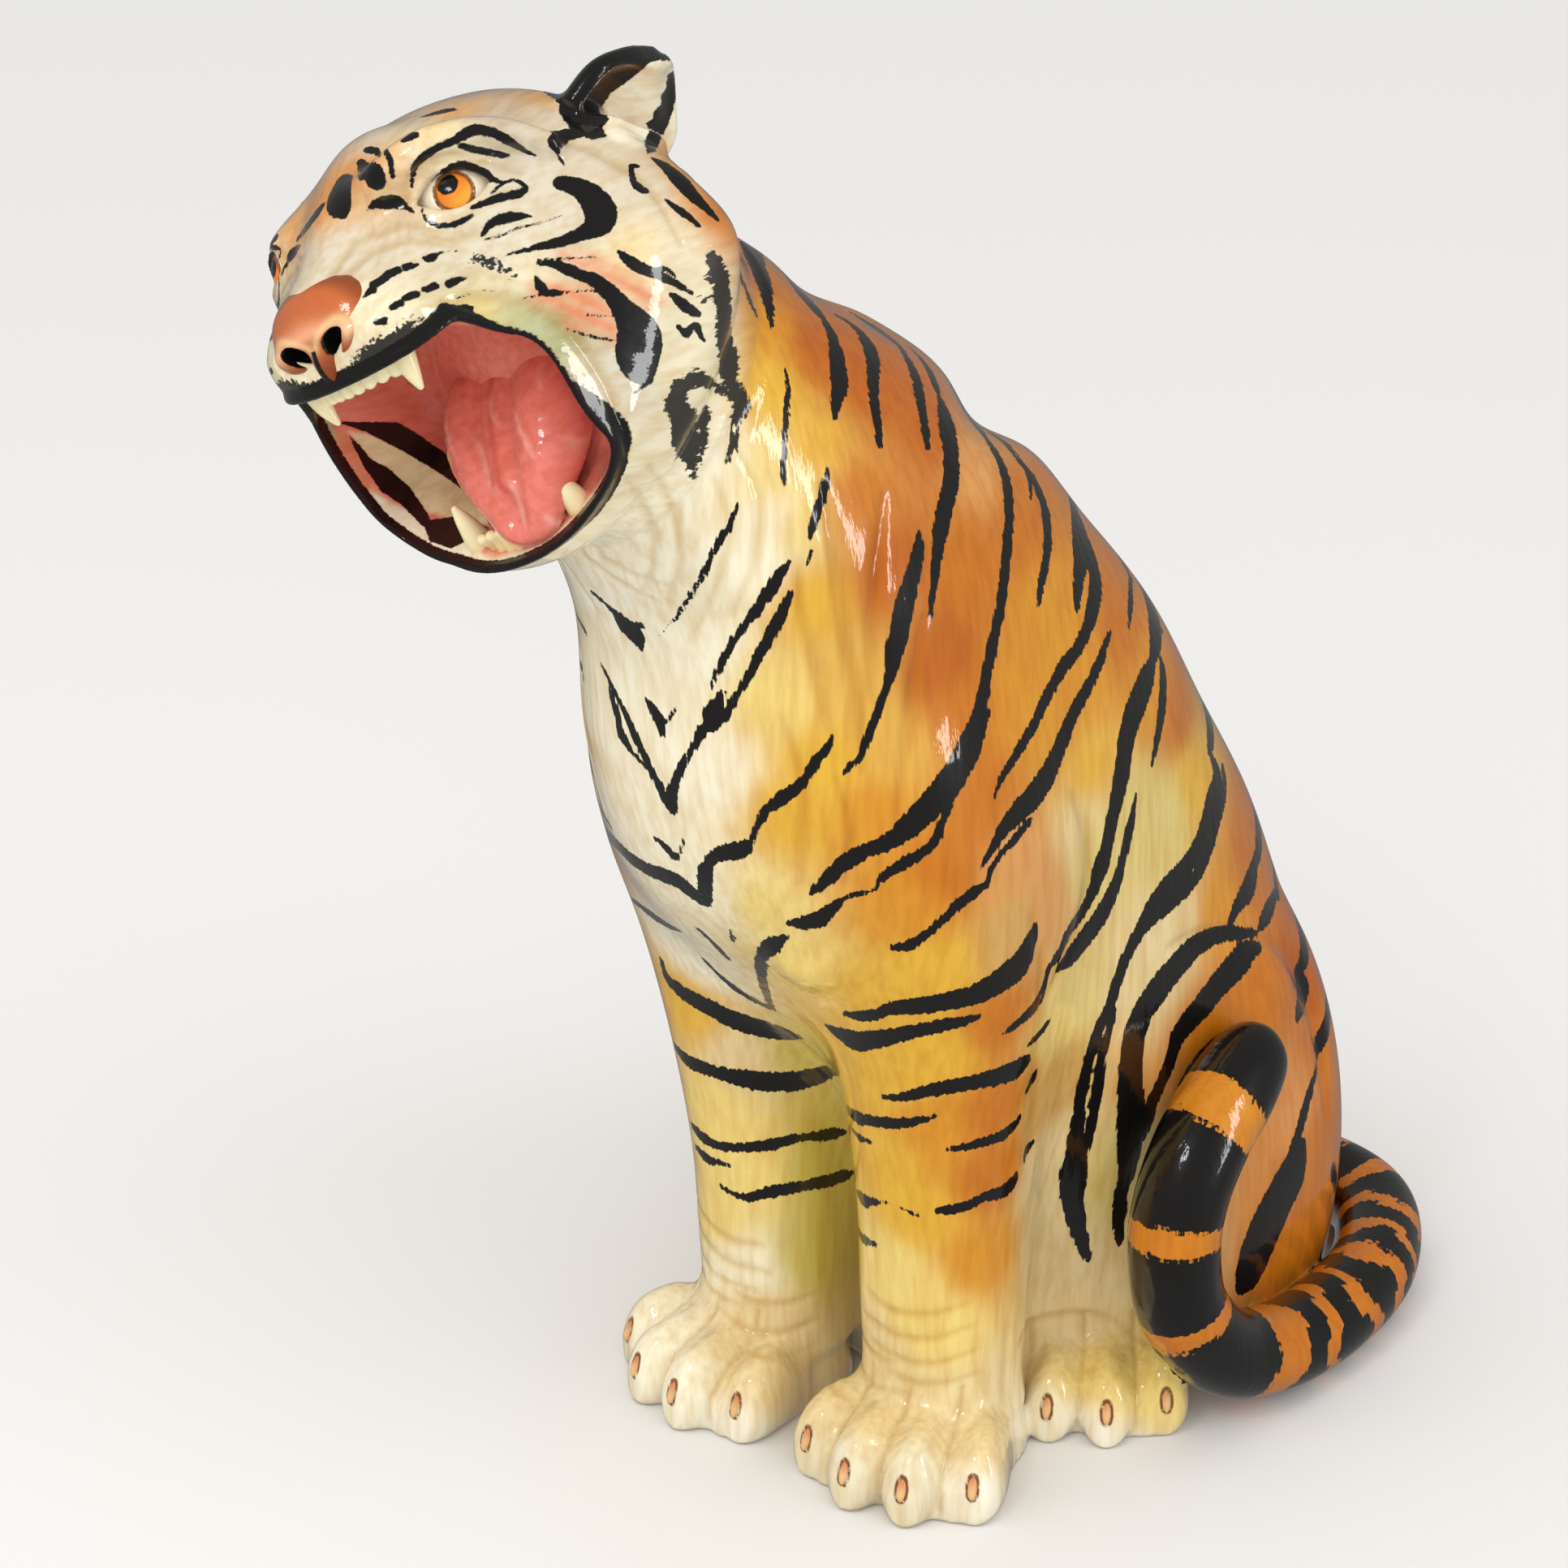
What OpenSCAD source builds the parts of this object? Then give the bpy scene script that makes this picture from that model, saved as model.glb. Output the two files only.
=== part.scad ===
// Seated roaring tiger: a hollow glazed ceramic floor figure, cast in pieces that are luted and fired as one.
// The tiger faces -Y, its left side is +X and +Z is up. All sizes are in millimetres.

/* [Shell] */
// Thickness of the cast walls
wall = 7; // [5:0.5:9]
// Thickness of the slab that closes the underside
base_t = 10; // [7:0.5:14]
// Diameter of the kiln vent hole in the slab
vent_d = 24; // [14:1:40]

/* [Torso] */
// Width across the hips
hip_w = 272; // [260:1:284]
// Width across the chest
chest_w = 250; // [240:1:260]
// Width of the neck
neck_w = 192; // [184:1:200]
// Reach of the rump behind the front axis
rump_reach = 332; // [322:1:342]
// Reach of the chest in front of the front axis
chest_reach = 190; // [182:1:198]
// Height of the neck's end inside the head
neck_top = 728; // [720:1:736]

/* [Forelegs] */
// Distance between the middles of the forelegs
stance = 124; // [118:1:130]
// Width of a foreleg at the elbow
elbow_w = 112; // [106:1:118]
// Width of a foreleg at the wrist
wrist_w = 94; // [88:1:100]
// Height of the top of the shoulder
shoulder_h = 520; // [505:1:535]

/* [Paws] */
// Width of a front paw across the knuckles
paw_w = 118; // [112:1:124]
// Length of a front paw from heel to knuckles
paw_l = 102; // [97:1:107]
// Height of a front paw
paw_h = 70; // [64:1:76]
// Angle that a front paw points outward
paw_turn = 12; // [6:1:18]
// Size of a hind paw compared with a front paw
hind_size = 0.96; // [0.9:0.01:1.02]
// Angle that a hind paw points outward
hind_turn = 30; // [24:1:36]
// Distance between the heels of the hind paws
hind_stance = 134; // [126:1:142]
// Width of a toe
toe_w = 33; // [30:0.5:36]
// Length of a claw
claw_l = 18; // [14:0.5:22]
// Width of a claw
claw_w = 9; // [7:0.5:11]

/* [Haunches] */
// Width across both thighs
haunch_w = 330; // [318:1:342]
// Height of the thighs
haunch_h = 288; // [276:1:300]
// Length of a thigh from knee to rump
haunch_l = 230; // [220:1:240]

/* [Tail] */
// Diameter of the tail
tail_d = 54; // [48:1:58]

/* [Head] */
// Width across the cheeks
head_w = 234; // [224:1:244]
// Distance of the head's middle to the right of the body's middle
head_side = 55; // [45:1:65]
// Distance of the head's middle in front of the front axis
head_fore = 230; // [224:1:236]
// Height of the head's middle
head_up = 730; // [724:1:736]
// Turn of the head to the left
head_turn = 8; // [0:1:16]
// Lift of the muzzle
head_lift = 3; // [-4:1:10]
// Tilt of the head onto its right cheek
head_tilt = 28; // [20:1:34]
// Diameter of the opening between the hollow head and the hollow neck
neck_hole_d = 90; // [70:1:110]

/* [Mouth] */
// Width of the open mouth between its corners
mouth_w = 160; // [152:1:164]
// Reach of the mouth from its middle to the upper lip
mouth_rise = 90; // [84:1:96]
// Reach of the mouth from its middle to the lower lip
mouth_drop = 38; // [34:1:42]
// Depth of the mouth
mouth_depth = 104; // [96:1:110]
// Thickness of the lining
lining_t = 6; // [4:0.5:8]
// Width of the tongue
tongue_w = 78; // [70:1:84]
// Thickness of the tongue
tongue_t = 20; // [16:1:24]
// Length of an upper fang
upper_fang_l = 30; // [24:1:36]
// Length of a lower fang
lower_fang_l = 24; // [18:1:28]
// Thickness of a fang at its root
fang_d = 13; // [10:0.5:15]
// Width of an incisor
incisor_w = 7; // [5.5:0.5:7.5]
// Length of an incisor
incisor_l = 11; // [9:0.5:14]

/* [Face] */
// Diameter of an eyeball
eye_d = 38; // [34:1:42]
// Distance between the eyes
eye_gap = 98; // [92:1:104]
// Width of the nose
nose_w = 46; // [42:1:50]
// Length of an ear
ear_l = 64; // [58:1:70]
// Width of an ear
ear_w = 74; // [66:1:82]

/* [Hidden] */

X = [1, 0, 0];
Y = [0, 1, 0];
Z = [0, 0, 1];

// Sides of the large sections, of the small sections, and rings between two named sections
large_sides = 28;
small_sides = 14;
steps = 2;
// Length by which a cutting shape runs past what it cuts
past = 2;
// Place of the body's front axis and middle plane in the figure's own box
front_axis_y = -7;
middle_x = 5.65;

// Torso sections from the floor up: height, side shift, front, back, half width, squareness
torso_rows = [
    [0, 0, 27, rump_reach - 20, hip_w / 2 - 20, 2.5],
    [60, 0, 23, rump_reach - 4, hip_w / 2 - 8, 2.5],
    [140, 0, 8, rump_reach, hip_w / 2, 2.6],
    [220, 0, -24, rump_reach - 13, hip_w / 2, 2.6],
    [300, 0, 100 - chest_reach, rump_reach - 48, hip_w / 2 - 5, 2.6],
    [380, 0, 40 - chest_reach, rump_reach - 98, chest_w / 2 + 2, 2.6],
    [460, 0, 12 - chest_reach, rump_reach - 158, chest_w / 2 - 3, 2.5],
    [540, 0, -chest_reach, rump_reach - 222, chest_w / 2 - 13, 2.4],
    [600, -8, -26 - chest_reach, rump_reach - 262, neck_w / 2 + 10, 2.3],
    [650, 35 - head_side, -16 - head_fore, 249 - head_fore, neck_w / 2 + 2, 2.2],
    [690, 23 - head_side, -38 - head_fore, 196 - head_fore, neck_w / 2 - 4, 2.1],
    [neck_top, 13 - head_side, -44 - head_fore, 142 - head_fore, neck_w / 2 - 16, 2],
    [neck_top + 28, 5 - head_side, -26 - head_fore, 100 - head_fore, neck_w / 2 - 42, 2]];

// Foreleg sections from the floor up: height, distance from the middle, middle, half width, forward, backward
leg_x = stance / 2;
leg_rows = [
    [paw_h / 2, leg_x, -12, wrist_w / 2 - 2, 44, 44],
    [paw_h + 26, leg_x, -14, wrist_w / 2, 46, 47],
    [160, leg_x + 1, -16, wrist_w / 2 + 1, 49, 50],
    [235, leg_x + 4, -22, elbow_w / 2 - 3, 55, 56],
    [310, leg_x + 10, -32, elbow_w / 2, 62, 64],
    [shoulder_h - 140, leg_x + 16, -46, elbow_w / 2 - 1, 68, 76],
    [shoulder_h - 80, leg_x + 16, -58, elbow_w / 2 - 8, 68, 76],
    [shoulder_h - 32, leg_x + 14, -62, elbow_w / 2 - 21, 52, 60],
    [shoulder_h, leg_x + 12, -64, elbow_w / 2 - 43, 20, 24]];

// Paw sections from heel to knuckles: distance from the heel, half width, height
paw_rows = [
    [0, paw_w / 2 - 22, paw_h - 34],
    [14, paw_w / 2 - 9, paw_h - 12],
    [50, paw_w / 2 - 4, paw_h],
    [paw_l - 34, paw_w / 2 - 1, paw_h - 8],
    [paw_l - 12, paw_w / 2 - 4, paw_h - 20],
    [paw_l, paw_w / 2 - 14, paw_h - 32]];
// Toes from the inside out: distance from the paw's middle, tip beyond the knuckles, fan angle
toe_rows = [
    [toe_w / 2 - paw_w / 2 - 4, -4, -15],
    [toe_w / 4 - paw_w / 5, 15, -5],
    [paw_w / 5 - toe_w / 4, 15, 5],
    [paw_w / 2 - toe_w / 2 + 4, -4, 15]];
toe_l = 56;
// Roundness of the sole before it is cut flat on the floor
sole = 6;
// Thickness of a paw over its hollow
paw_wall = wall + 5;
toe_h = 50;
claw_up = 26;
front_heel = [leg_x - 4, 14];
hind_heel = [hind_stance / 2 + 3, 131];

// Thigh sections from the floor up: height, half width, forward, backward
thigh_x = haunch_w / 2;
thigh_mid = 198;
thigh_rows = [
    [0, 52, haunch_l / 2 - 18, haunch_l / 2 - 20],
    [50, 60, haunch_l / 2 - 3, haunch_l / 2 - 8],
    [112, 64, haunch_l / 2 + 2, haunch_l / 2 - 4],
    [haunch_h - 116, 60, haunch_l / 2 - 10, haunch_l / 2 - 10],
    [haunch_h - 62, 50, haunch_l / 2 - 34, haunch_l / 2 - 28],
    [haunch_h - 22, 34, haunch_l / 2 - 62, haunch_l / 2 - 56],
    [haunch_h, 14, haunch_l / 2 - 95, haunch_l / 2 - 92]];
thigh_lean = 14;

// Tail route from the rump round the left thigh to the tip, and the share of the diameter at each point
tail_side = thigh_x + tail_d / 5;
tail_route = [
    [26, rump_reach - 10, tail_d / 2 + 18],
    [84, rump_reach + 20, tail_d / 2 + 4],
    [136, rump_reach + 6, tail_d / 2 + 1],
    [tail_side - 2, rump_reach - 52, tail_d / 2 + 1],
    [tail_side + 10, rump_reach - 116, tail_d / 2 + 1],
    [tail_side + 8, 158, tail_d / 2 + 4],
    [tail_side + 2, 108, tail_d / 2 + 22],
    [tail_side - 4, 72, tail_d / 2 + 64],
    [tail_side - 6, 62, tail_d / 2 + 108],
    [tail_side - 6, 68, tail_d / 2 + 142],
    [tail_side - 7, 90, tail_d / 2 + 170],
    [tail_side - 9, 122, tail_d / 2 + 190],
    [tail_side - 12, 150, tail_d / 2 + 202]];
tail_share = [0.9, 0.95, 1, 1, 1, 1, 1, 1, 1, 1, 1, 0.96, 0.7];

// Head sections from the nape forward: distance back, middle height, half width, up, down, squareness
cheek = head_w / 2;
head_rows = [
    [100, -4, cheek - 91, 24, 26, 2],
    [88, -4, cheek - 55, 56, 62, 2],
    [60, -6, cheek - 21, 82, 92, 2.1],
    [20, -10, cheek, 103, 110, 2.1],
    [-20, -18, cheek - 1, 114, 117, 2.1],
    [-50, -25, cheek - 14, 113, 112, 2.2],
    [-72, -22, cheek - 32, 101, 98, 2.6],
    [-95, -13, cheek - 52, 74, 76, 2.7],
    [-118, -5, cheek - 64, 42, 42, 2.4],
    [-138, -4, cheek - 74, 30, 27, 2.3],
    [-148, -5, cheek - 87, 20, 17, 2.2]];

// The mouth's middle, its slope, and its sections inward: share of the depth, side, lower and upper shrink
mouth_mid = [0, -86, -97];
mouth_slope = 55;
lip_way = [0, cos(mouth_slope), -sin(mouth_slope)];
throat_way = [0, sin(mouth_slope), cos(mouth_slope)];
mouth_rows = [
    [-0.5, -6, -6, -8],
    [0, 0, 0, 0],
    [0.3, 1, 3, 3],
    [0.58, 6, 7, 12],
    [0.82, 22, 14, 34],
    [1, 52, 26, 68]];
// Slope of the opening into the neck
neck_slope = 128;
// Squareness of the lower and the upper half of the mouth
mouth_square = [2.3, 4];
// Height below the head's middle at which the jaw is luted on
jaw_seam = 112;

tongue_rows = [
    [0.9, 22, 0.68, 0.9],
    [0.68, 25, 0.94, 1.2],
    [0.44, 18, 1.04, 1.3],
    [0.2, 8, 0.92, 1.1],
    [0.03, 0, 0.72, 0.85],
    [-0.05, -9, 0.5, 0.6]];

upper_fang = [28, -131, -19];
lower_fang = [31, -64, -116];
eye_mid = [eye_gap / 2, -73, 44];
nose_mid = [0, -143, 13];
ear_base = [cheek - 41, 18, 58];
ear_way = [0.47, 0.79, 0.39];
ear_open = [0.62, 0, -0.78];

function power(v, n) = sign(v) * pow(abs(v), 2 / n);

// Closed outline round c on the axes u and v: half width w, reach a along v and b against it, squareness n
function outline(c, u, v, w, a, b, n, sides) = [
    for (i = [0 : sides - 1])
        let (t = 360 * i / sides, k = sin(t), m = is_list(n) ? n[k > 0 ? 0 : 1] : n)
            c + u * (w * power(cos(t), m)) + v * ((k > 0 ? a : b) * power(k, m))];

// Smooth curve through rows of numbers
function between(rows, k, t) =
    let (p = rows[max(k - 1, 0)], q = rows[k], r = rows[k + 1], s = rows[min(k + 2, len(rows) - 1)])
        q + (r - p) * (t / 2) + (2 * p - 5 * q + 4 * r - s) * (t * t / 2) + (3 * q - p - 3 * r + s) * (t * t * t / 2);
function flow(rows, n) = [
    for (k = [0 : len(rows) - 2])
        for (s = [0 : n - 1])
            between(rows, k, s / n),
    rows[len(rows) - 1]];

function unit(v) = v / norm(v);

// Closed solid through a row of outlines
module loft(rings) {
    n = len(rings[0]);
    last = (len(rings) - 1) * n;
    walls = [
        for (k = [0 : len(rings) - 2])
            for (i = [0 : n - 1])
                let (a = k * n + i, b = k * n + (i + 1) % n)
                    each [[a, b + n, b], [a, a + n, b + n]]];
    ends = [[for (i = [0 : n - 1]) i], [for (i = [n - 1 : -1 : 0]) last + i]];
    polyhedron([for (r = rings) each r], concat(walls, ends));
}

// Ball with its own half sizes along each axis
module ball(c, half, rings, sides) {
    loft([
        for (k = [1 : rings - 1])
            let (a = 180 * k / rings)
                outline(c + Y * (half[1] * cos(a)), X, Z, half[0] * sin(a), half[2] * sin(a), half[2] * sin(a), 2, sides)]);
}

// Tapered round spike from a root along a way
module spike(root, way, length, thick) {
    side = unit(cross(way, X));
    rows = [[0, 0.8], [0.3, 1], [0.7, 0.66], [1, 0.16]];
    loft([
        for (r = flow(rows, steps))
            outline(root + way * (length * r[0]), X, side, thick / 2 * r[1], thick / 2 * r[1], thick / 2 * r[1], 2, small_sides)]);
}

// Moves the body so that the origin is under the middle of the figure
module placed() translate([-middle_x, -front_axis_y, 0]) children();

// Moves a piece of the head from the head's own axes to its place on the neck
module on_neck() {
    translate([-head_side, -head_fore, head_up])
        rotate([0, 0, head_turn])
            rotate([-head_lift, 0, 0])
                rotate([0, -head_tilt, 0])
                    children();
}

module both_or_one(left) {
    if (left) children();
    else mirror(X) children();
}

module torso_solid(inset) {
    loft([
        for (r = flow(torso_rows, steps))
            let (mid = (r[2] + r[3]) / 2, reach = (r[3] - r[2]) / 2 - inset, w = r[4] - inset)
                outline([r[1], mid, r[0]], X, Y, w, reach, reach, r[5], large_sides)]);
}

// Hollow of the torso, open underneath
module torso_hollow() {
    rows = flow(torso_rows, steps);
    top = rows[len(rows) - 1][0];
    loft([
        for (r = rows)
            let (
                mid = (r[2] + r[3]) / 2,
                reach = (r[3] - r[2]) / 2 - wall,
                z = r[0] == 0 ? -past : min(r[0], top - wall * r[0] / top))
                outline([r[1], mid, z], X, Y, r[4] - wall, reach, reach, r[5], large_sides)]);
}

module torso_shell() color("peru") placed() difference() {
    torso_solid(0);
    torso_hollow();
    on_neck() head_solid(0);
}

module base_plate() color("antiquewhite") placed() difference() {
    intersection() {
        torso_hollow();
        translate([-hip_w / 2, -chest_reach, 0]) cube([hip_w, chest_reach + rump_reach, base_t]);
    }
    translate([0, rump_reach / 2, -past]) cylinder(d = vent_d, h = base_t + 2 * past, $fn = 48);
}

module leg_solid(inset) {
    loft([
        for (r = flow(leg_rows, steps))
            outline([r[1], r[2], r[0]], X, Y, max(r[3] - inset, 2), max(r[5] - inset, 2), max(r[4] - inset, 2), 2.2, large_sides - 4)]);
}

module foreleg(left) color("goldenrod") placed() difference() {
    both_or_one(left) difference() {
        leg_solid(0);
        leg_solid(wall);
        front_paw_solid();
    }
    torso_solid(0);
}

module toe(row) {
    rows = [[0, 0.72, 0.8], [0.35, 0.95, 1], [0.7, 1, 0.94], [0.9, 0.82, 0.74], [1, 0.45, 0.42]];
    tip = paw_l + row[1];
    translate([row[0], -(tip - toe_l), 0])
        rotate([0, 0, row[2]])
            loft([
                for (r = flow(rows, steps))
                    outline([0, -toe_l * r[0], 0], X, Z, toe_w / 2 * r[1], toe_h * r[2], sole, 2.2, small_sides)]);
}

module claw(row) {
    tip = paw_l + row[1];
    translate([row[0], -(tip - toe_l), 0])
        rotate([0, 0, row[2]])
            translate([0, claw_w / 3 - toe_l, claw_up])
                rotate([-28, 0, 0])
                    ball([0, 0, 0], [claw_w / 2, claw_w / 2, claw_l / 2], 8, 10);
}

module pad(inset) {
    loft([
        for (r = flow(paw_rows, steps))
            outline(
                [0, -r[0] * (1 - 3 * inset / paw_l) - 2 * inset, 0], X, Z,
                r[1] - inset, r[2] - inset, sole, 2.3, small_sides + 4)]);
}

module paw_solid() {
    difference() {
        union() {
            pad(0);
            for (row = toe_rows) toe(row);
        }
        for (row = toe_rows) claw(row);
        translate([-paw_w, -2 * paw_l, -2 * sole]) cube([2 * paw_w, 3 * paw_l, 2 * sole]);
    }
}

module at_front_heel() translate([front_heel[0], front_heel[1], 0]) rotate([0, 0, paw_turn]) children();

module at_hind_heel() {
    translate([hind_heel[0], hind_heel[1], 0])
        rotate([0, 0, hind_turn])
            scale(hind_size)
                children();
}

module front_paw_solid() at_front_heel() paw_solid();

module front_paw(left) color("cornsilk") placed() difference() {
    both_or_one(left) difference() {
        front_paw_solid();
        at_front_heel() pad(paw_wall);
    }
    torso_solid(0);
}

module hind_paw(left) color("cornsilk") placed() difference() {
    both_or_one(left) difference() {
        at_hind_heel() paw_solid();
        at_hind_heel() pad(paw_wall);
        front_paw_solid();
        leg_solid(0);
    }
    torso_solid(0);
}

module front_claws(left) color("sienna") placed() both_or_one(left) at_front_heel() for (row = toe_rows) claw(row);

module hind_claws(left) color("sienna") placed() both_or_one(left) at_hind_heel() for (row = toe_rows) claw(row);

module thigh_solid(inset) {
    loft([
        for (r = flow(thigh_rows, steps))
            let (x = thigh_x - 64 - thigh_lean * pow(r[0] / haunch_h, 2))
                outline([x, thigh_mid, r[0]], X, Y, max(r[1] - inset, 2), r[3] - inset, r[2] - inset, 2.2, large_sides - 4)]);
}

module haunch(left) color("peru") placed() difference() {
    both_or_one(left) difference() {
        thigh_solid(0);
        translate([0, 0, -past]) thigh_solid(wall);
        at_hind_heel() paw_solid();
    }
    torso_solid(0);
}

function tail_axis(p, k) = unit(p[min(k + 1, len(p) - 1)] - p[max(k - 1, 0)]);

module tail_solid(inset) {
    path = flow(tail_route, steps);
    share = flow([for (s = tail_share) [s]], steps);
    ends = inset > 0 ? steps + 1 : 0;
    loft([
        for (k = [ends : len(path) - 1 - ends])
            let (
                t = tail_axis(path, k),
                u = unit(cross(t, [0.3, -0.1, 1])),
                v = cross(t, u),
                r = tail_d / 2 * share[k][0] - inset)
                outline(path[k], u, v, r, r, r, 2, small_sides)]);
}

module tail() color("saddlebrown") placed() difference() {
    tail_solid(0);
    tail_solid(wall);
    torso_solid(0);
    thigh_solid(0);
    at_hind_heel() paw_solid();
}

module head_solid(inset) {
    loft([
        for (r = flow(head_rows, steps))
            outline(
                [0, r[0] * (1 - inset / 120), r[1]], X, Z,
                max(r[2] - inset, 2), max(r[3] - inset, 2), max(r[4] - inset, 2), r[5], large_sides)]);
}

module mouth_solid(inset) {
    loft([
        for (r = flow(mouth_rows, steps))
            outline(
                mouth_mid + throat_way * (r[0] * mouth_depth - (r[0] > 0.9 ? inset : 0)), X, lip_way,
                max(mouth_w / 2 - r[1] - inset, 2), max(mouth_drop - r[2] - inset, 2), max(mouth_rise - r[3] - inset, 2),
                mouth_square, large_sides - 4)]);
}

// Everything of the head that lies under the jaw's seam
module jaw_side() translate([-head_w, -head_w, -jaw_seam - head_w]) cube([2 * head_w, 2 * head_w, head_w]);

module head_casting() {
    difference() {
        head_solid(0);
        head_solid(wall);
        mouth_solid(0);
        eyeball(true);
        eyeball(false);
        teeth_solid();
    }
}

module head_shell() color("wheat") placed() on_neck() difference() {
    head_casting();
    jaw_side();
    rotate([-neck_slope, 0, 0]) cylinder(d = neck_hole_d, h = head_w, $fn = 48);
}

module lower_jaw() color("wheat") placed() on_neck() intersection() {
    head_casting();
    jaw_side();
}

module mouth_lining() color("indianred") placed() on_neck() difference() {
    intersection() {
        mouth_solid(0);
        head_solid(0);
    }
    mouth_solid(lining_t);
    teeth_solid();
    tongue_solid();
}

module tongue_solid() {
    loft([
        for (r = flow(tongue_rows, steps))
            outline(
                mouth_mid + throat_way * (r[0] * mouth_depth) + lip_way * (mouth_drop - lining_t - tongue_t / 2 - r[1]),
                X, lip_way * -1, tongue_w / 2 * r[2], tongue_t / 2 * r[3], tongue_t / 2 * r[3], 2.2, small_sides + 4)]);
}

module tongue() color("palevioletred") placed() on_neck() difference() {
    tongue_solid();
    lower_teeth_solid();
}

module fangs(place, way, length) {
    for (s = [-1, 1])
        spike([s * place[0], place[1], place[2]], way, length, fang_d);
}

module incisors(place, way, length) {
    for (i = [-2.5 : 1 : 2.5])
        spike([i * incisor_w, place[1] - 4, place[2]], way, length, incisor_w);
}

upper_way = unit([0, 0.25, -1]);
lower_way = unit([0, -0.5, 0.85]);

module upper_teeth_solid() {
    fangs(upper_fang - upper_way * (upper_fang_l / 4), upper_way, upper_fang_l);
    incisors(upper_fang - upper_way * (incisor_l / 3), upper_way, incisor_l);
}

module lower_teeth_solid() {
    fangs(lower_fang - lower_way * (lower_fang_l / 4), lower_way, lower_fang_l);
    incisors(lower_fang - lower_way * (incisor_l / 3), lower_way, incisor_l);
}

module teeth_solid() {
    upper_teeth_solid();
    lower_teeth_solid();
}

module upper_teeth() color("ivory") placed() on_neck() upper_teeth_solid();

module lower_teeth() color("ivory") placed() on_neck() lower_teeth_solid();

module nose() color("chocolate") placed() on_neck() difference() {
    ball(nose_mid, [nose_w / 2, nose_w / 2.4, nose_w / 2.1], 12, small_sides + 4);
    head_solid(0);
}

module eyeball(left) both_or_one(left) ball(eye_mid, [eye_d / 2, eye_d / 2, eye_d / 2], 12, small_sides + 4);

module eye(left) color("orange") placed() on_neck() eyeball(left);

module ear_solid(inset) {
    open = unit(ear_open - ear_way * (ear_open * ear_way));
    side = cross(open, unit(ear_way));
    rows = [[-0.2, 0.86, 0.34], [0.15, 1, 0.36], [0.45, 0.92, 0.3], [0.75, 0.62, 0.2], [0.93, 0.32, 0.12], [1, 0.12, 0.06]];
    loft([
        for (r = flow(rows, steps))
            outline(
                ear_base + unit(ear_way) * (ear_l * r[0]) + open * inset, side, open,
                max(ear_w / 2 * r[1] - inset, 1), ear_w / 2 * r[2], ear_w / 2 * r[2], 2, small_sides + 4)]);
}

module ear(left) color("dimgray") placed() on_neck() both_or_one(left) difference() {
    ear_solid(0);
    ear_solid(wall);
    head_solid(0);
}

torso_shell();
base_plate();
foreleg(true);  // left_foreleg
foreleg(false);  // right_foreleg
front_paw(true);  // left_front_paw
front_paw(false);  // right_front_paw
haunch(true);  // left_haunch
haunch(false);  // right_haunch
hind_paw(true);  // left_hind_paw
hind_paw(false);  // right_hind_paw
front_claws(true);  // left_front_claws
front_claws(false);  // right_front_claws
hind_claws(true);  // left_hind_claws
hind_claws(false);  // right_hind_claws
tail();
head_shell();
lower_jaw();
mouth_lining();
tongue();
upper_teeth();
lower_teeth();
nose();
eye(true);  // left_eye
eye(false);  // right_eye
ear(true);  // left_ear
ear(false);  // right_ear
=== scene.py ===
"""Looks of the seated ceramic tiger: modelled skin, hand-painted glaze, studio light and camera."""

import math

import bpy
import numpy as np
import openvdb as vdb
from mathutils import Matrix, Vector
from mathutils.bvhtree import BVHTree


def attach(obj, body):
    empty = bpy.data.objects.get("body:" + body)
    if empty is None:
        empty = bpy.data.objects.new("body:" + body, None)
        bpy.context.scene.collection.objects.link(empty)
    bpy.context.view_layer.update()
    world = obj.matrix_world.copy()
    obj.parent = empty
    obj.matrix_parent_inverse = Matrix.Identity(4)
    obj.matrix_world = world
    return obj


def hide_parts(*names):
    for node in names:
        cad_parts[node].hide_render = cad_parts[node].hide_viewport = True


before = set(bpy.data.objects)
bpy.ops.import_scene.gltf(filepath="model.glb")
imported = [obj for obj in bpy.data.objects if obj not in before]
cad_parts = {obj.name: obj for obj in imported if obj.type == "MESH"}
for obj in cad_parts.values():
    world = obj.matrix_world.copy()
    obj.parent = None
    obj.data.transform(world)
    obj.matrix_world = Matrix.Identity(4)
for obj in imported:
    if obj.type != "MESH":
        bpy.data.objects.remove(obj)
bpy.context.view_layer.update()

# All modelling is in millimetres in the body's own axes: x to the tiger's left, y backwards, z up.
PLACED = np.array([-5.65, 7.0, 0.0])
MM = 0.001

BODY_VOXEL = 2.2
HEAD_VOXEL = 1.2
TONGUE_VOXEL = 1.2
DETAIL_VOXEL = 0.8
EYE_VOXEL = 0.7

# Boxes that the grids of the body and of the head fill
BODY_BOX = ((-222, -306, -6), (222, 386, 772))
HEAD_BOX = ((-138, -178, -156), (138, 124, 126))

# The photograph's camera
FRAME_PX = 1932
CAMERA_AZIMUTH = 40.0
CAMERA_ELEVATION = 24.0
CAMERA_DISTANCE = 2250.0
CAMERA_FOCAL_PX = 4840.0
CAMERA_TARGET = np.array([-70.0, 0.0, 380.0])
SENSOR_MM = 36.0

# The head's place on the neck
HEAD_MID = np.array([-55.0, -230.0, 730.0])
HEAD_TURN = 8.0
HEAD_LIFT = 3.0
HEAD_TILT = 28.0

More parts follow.
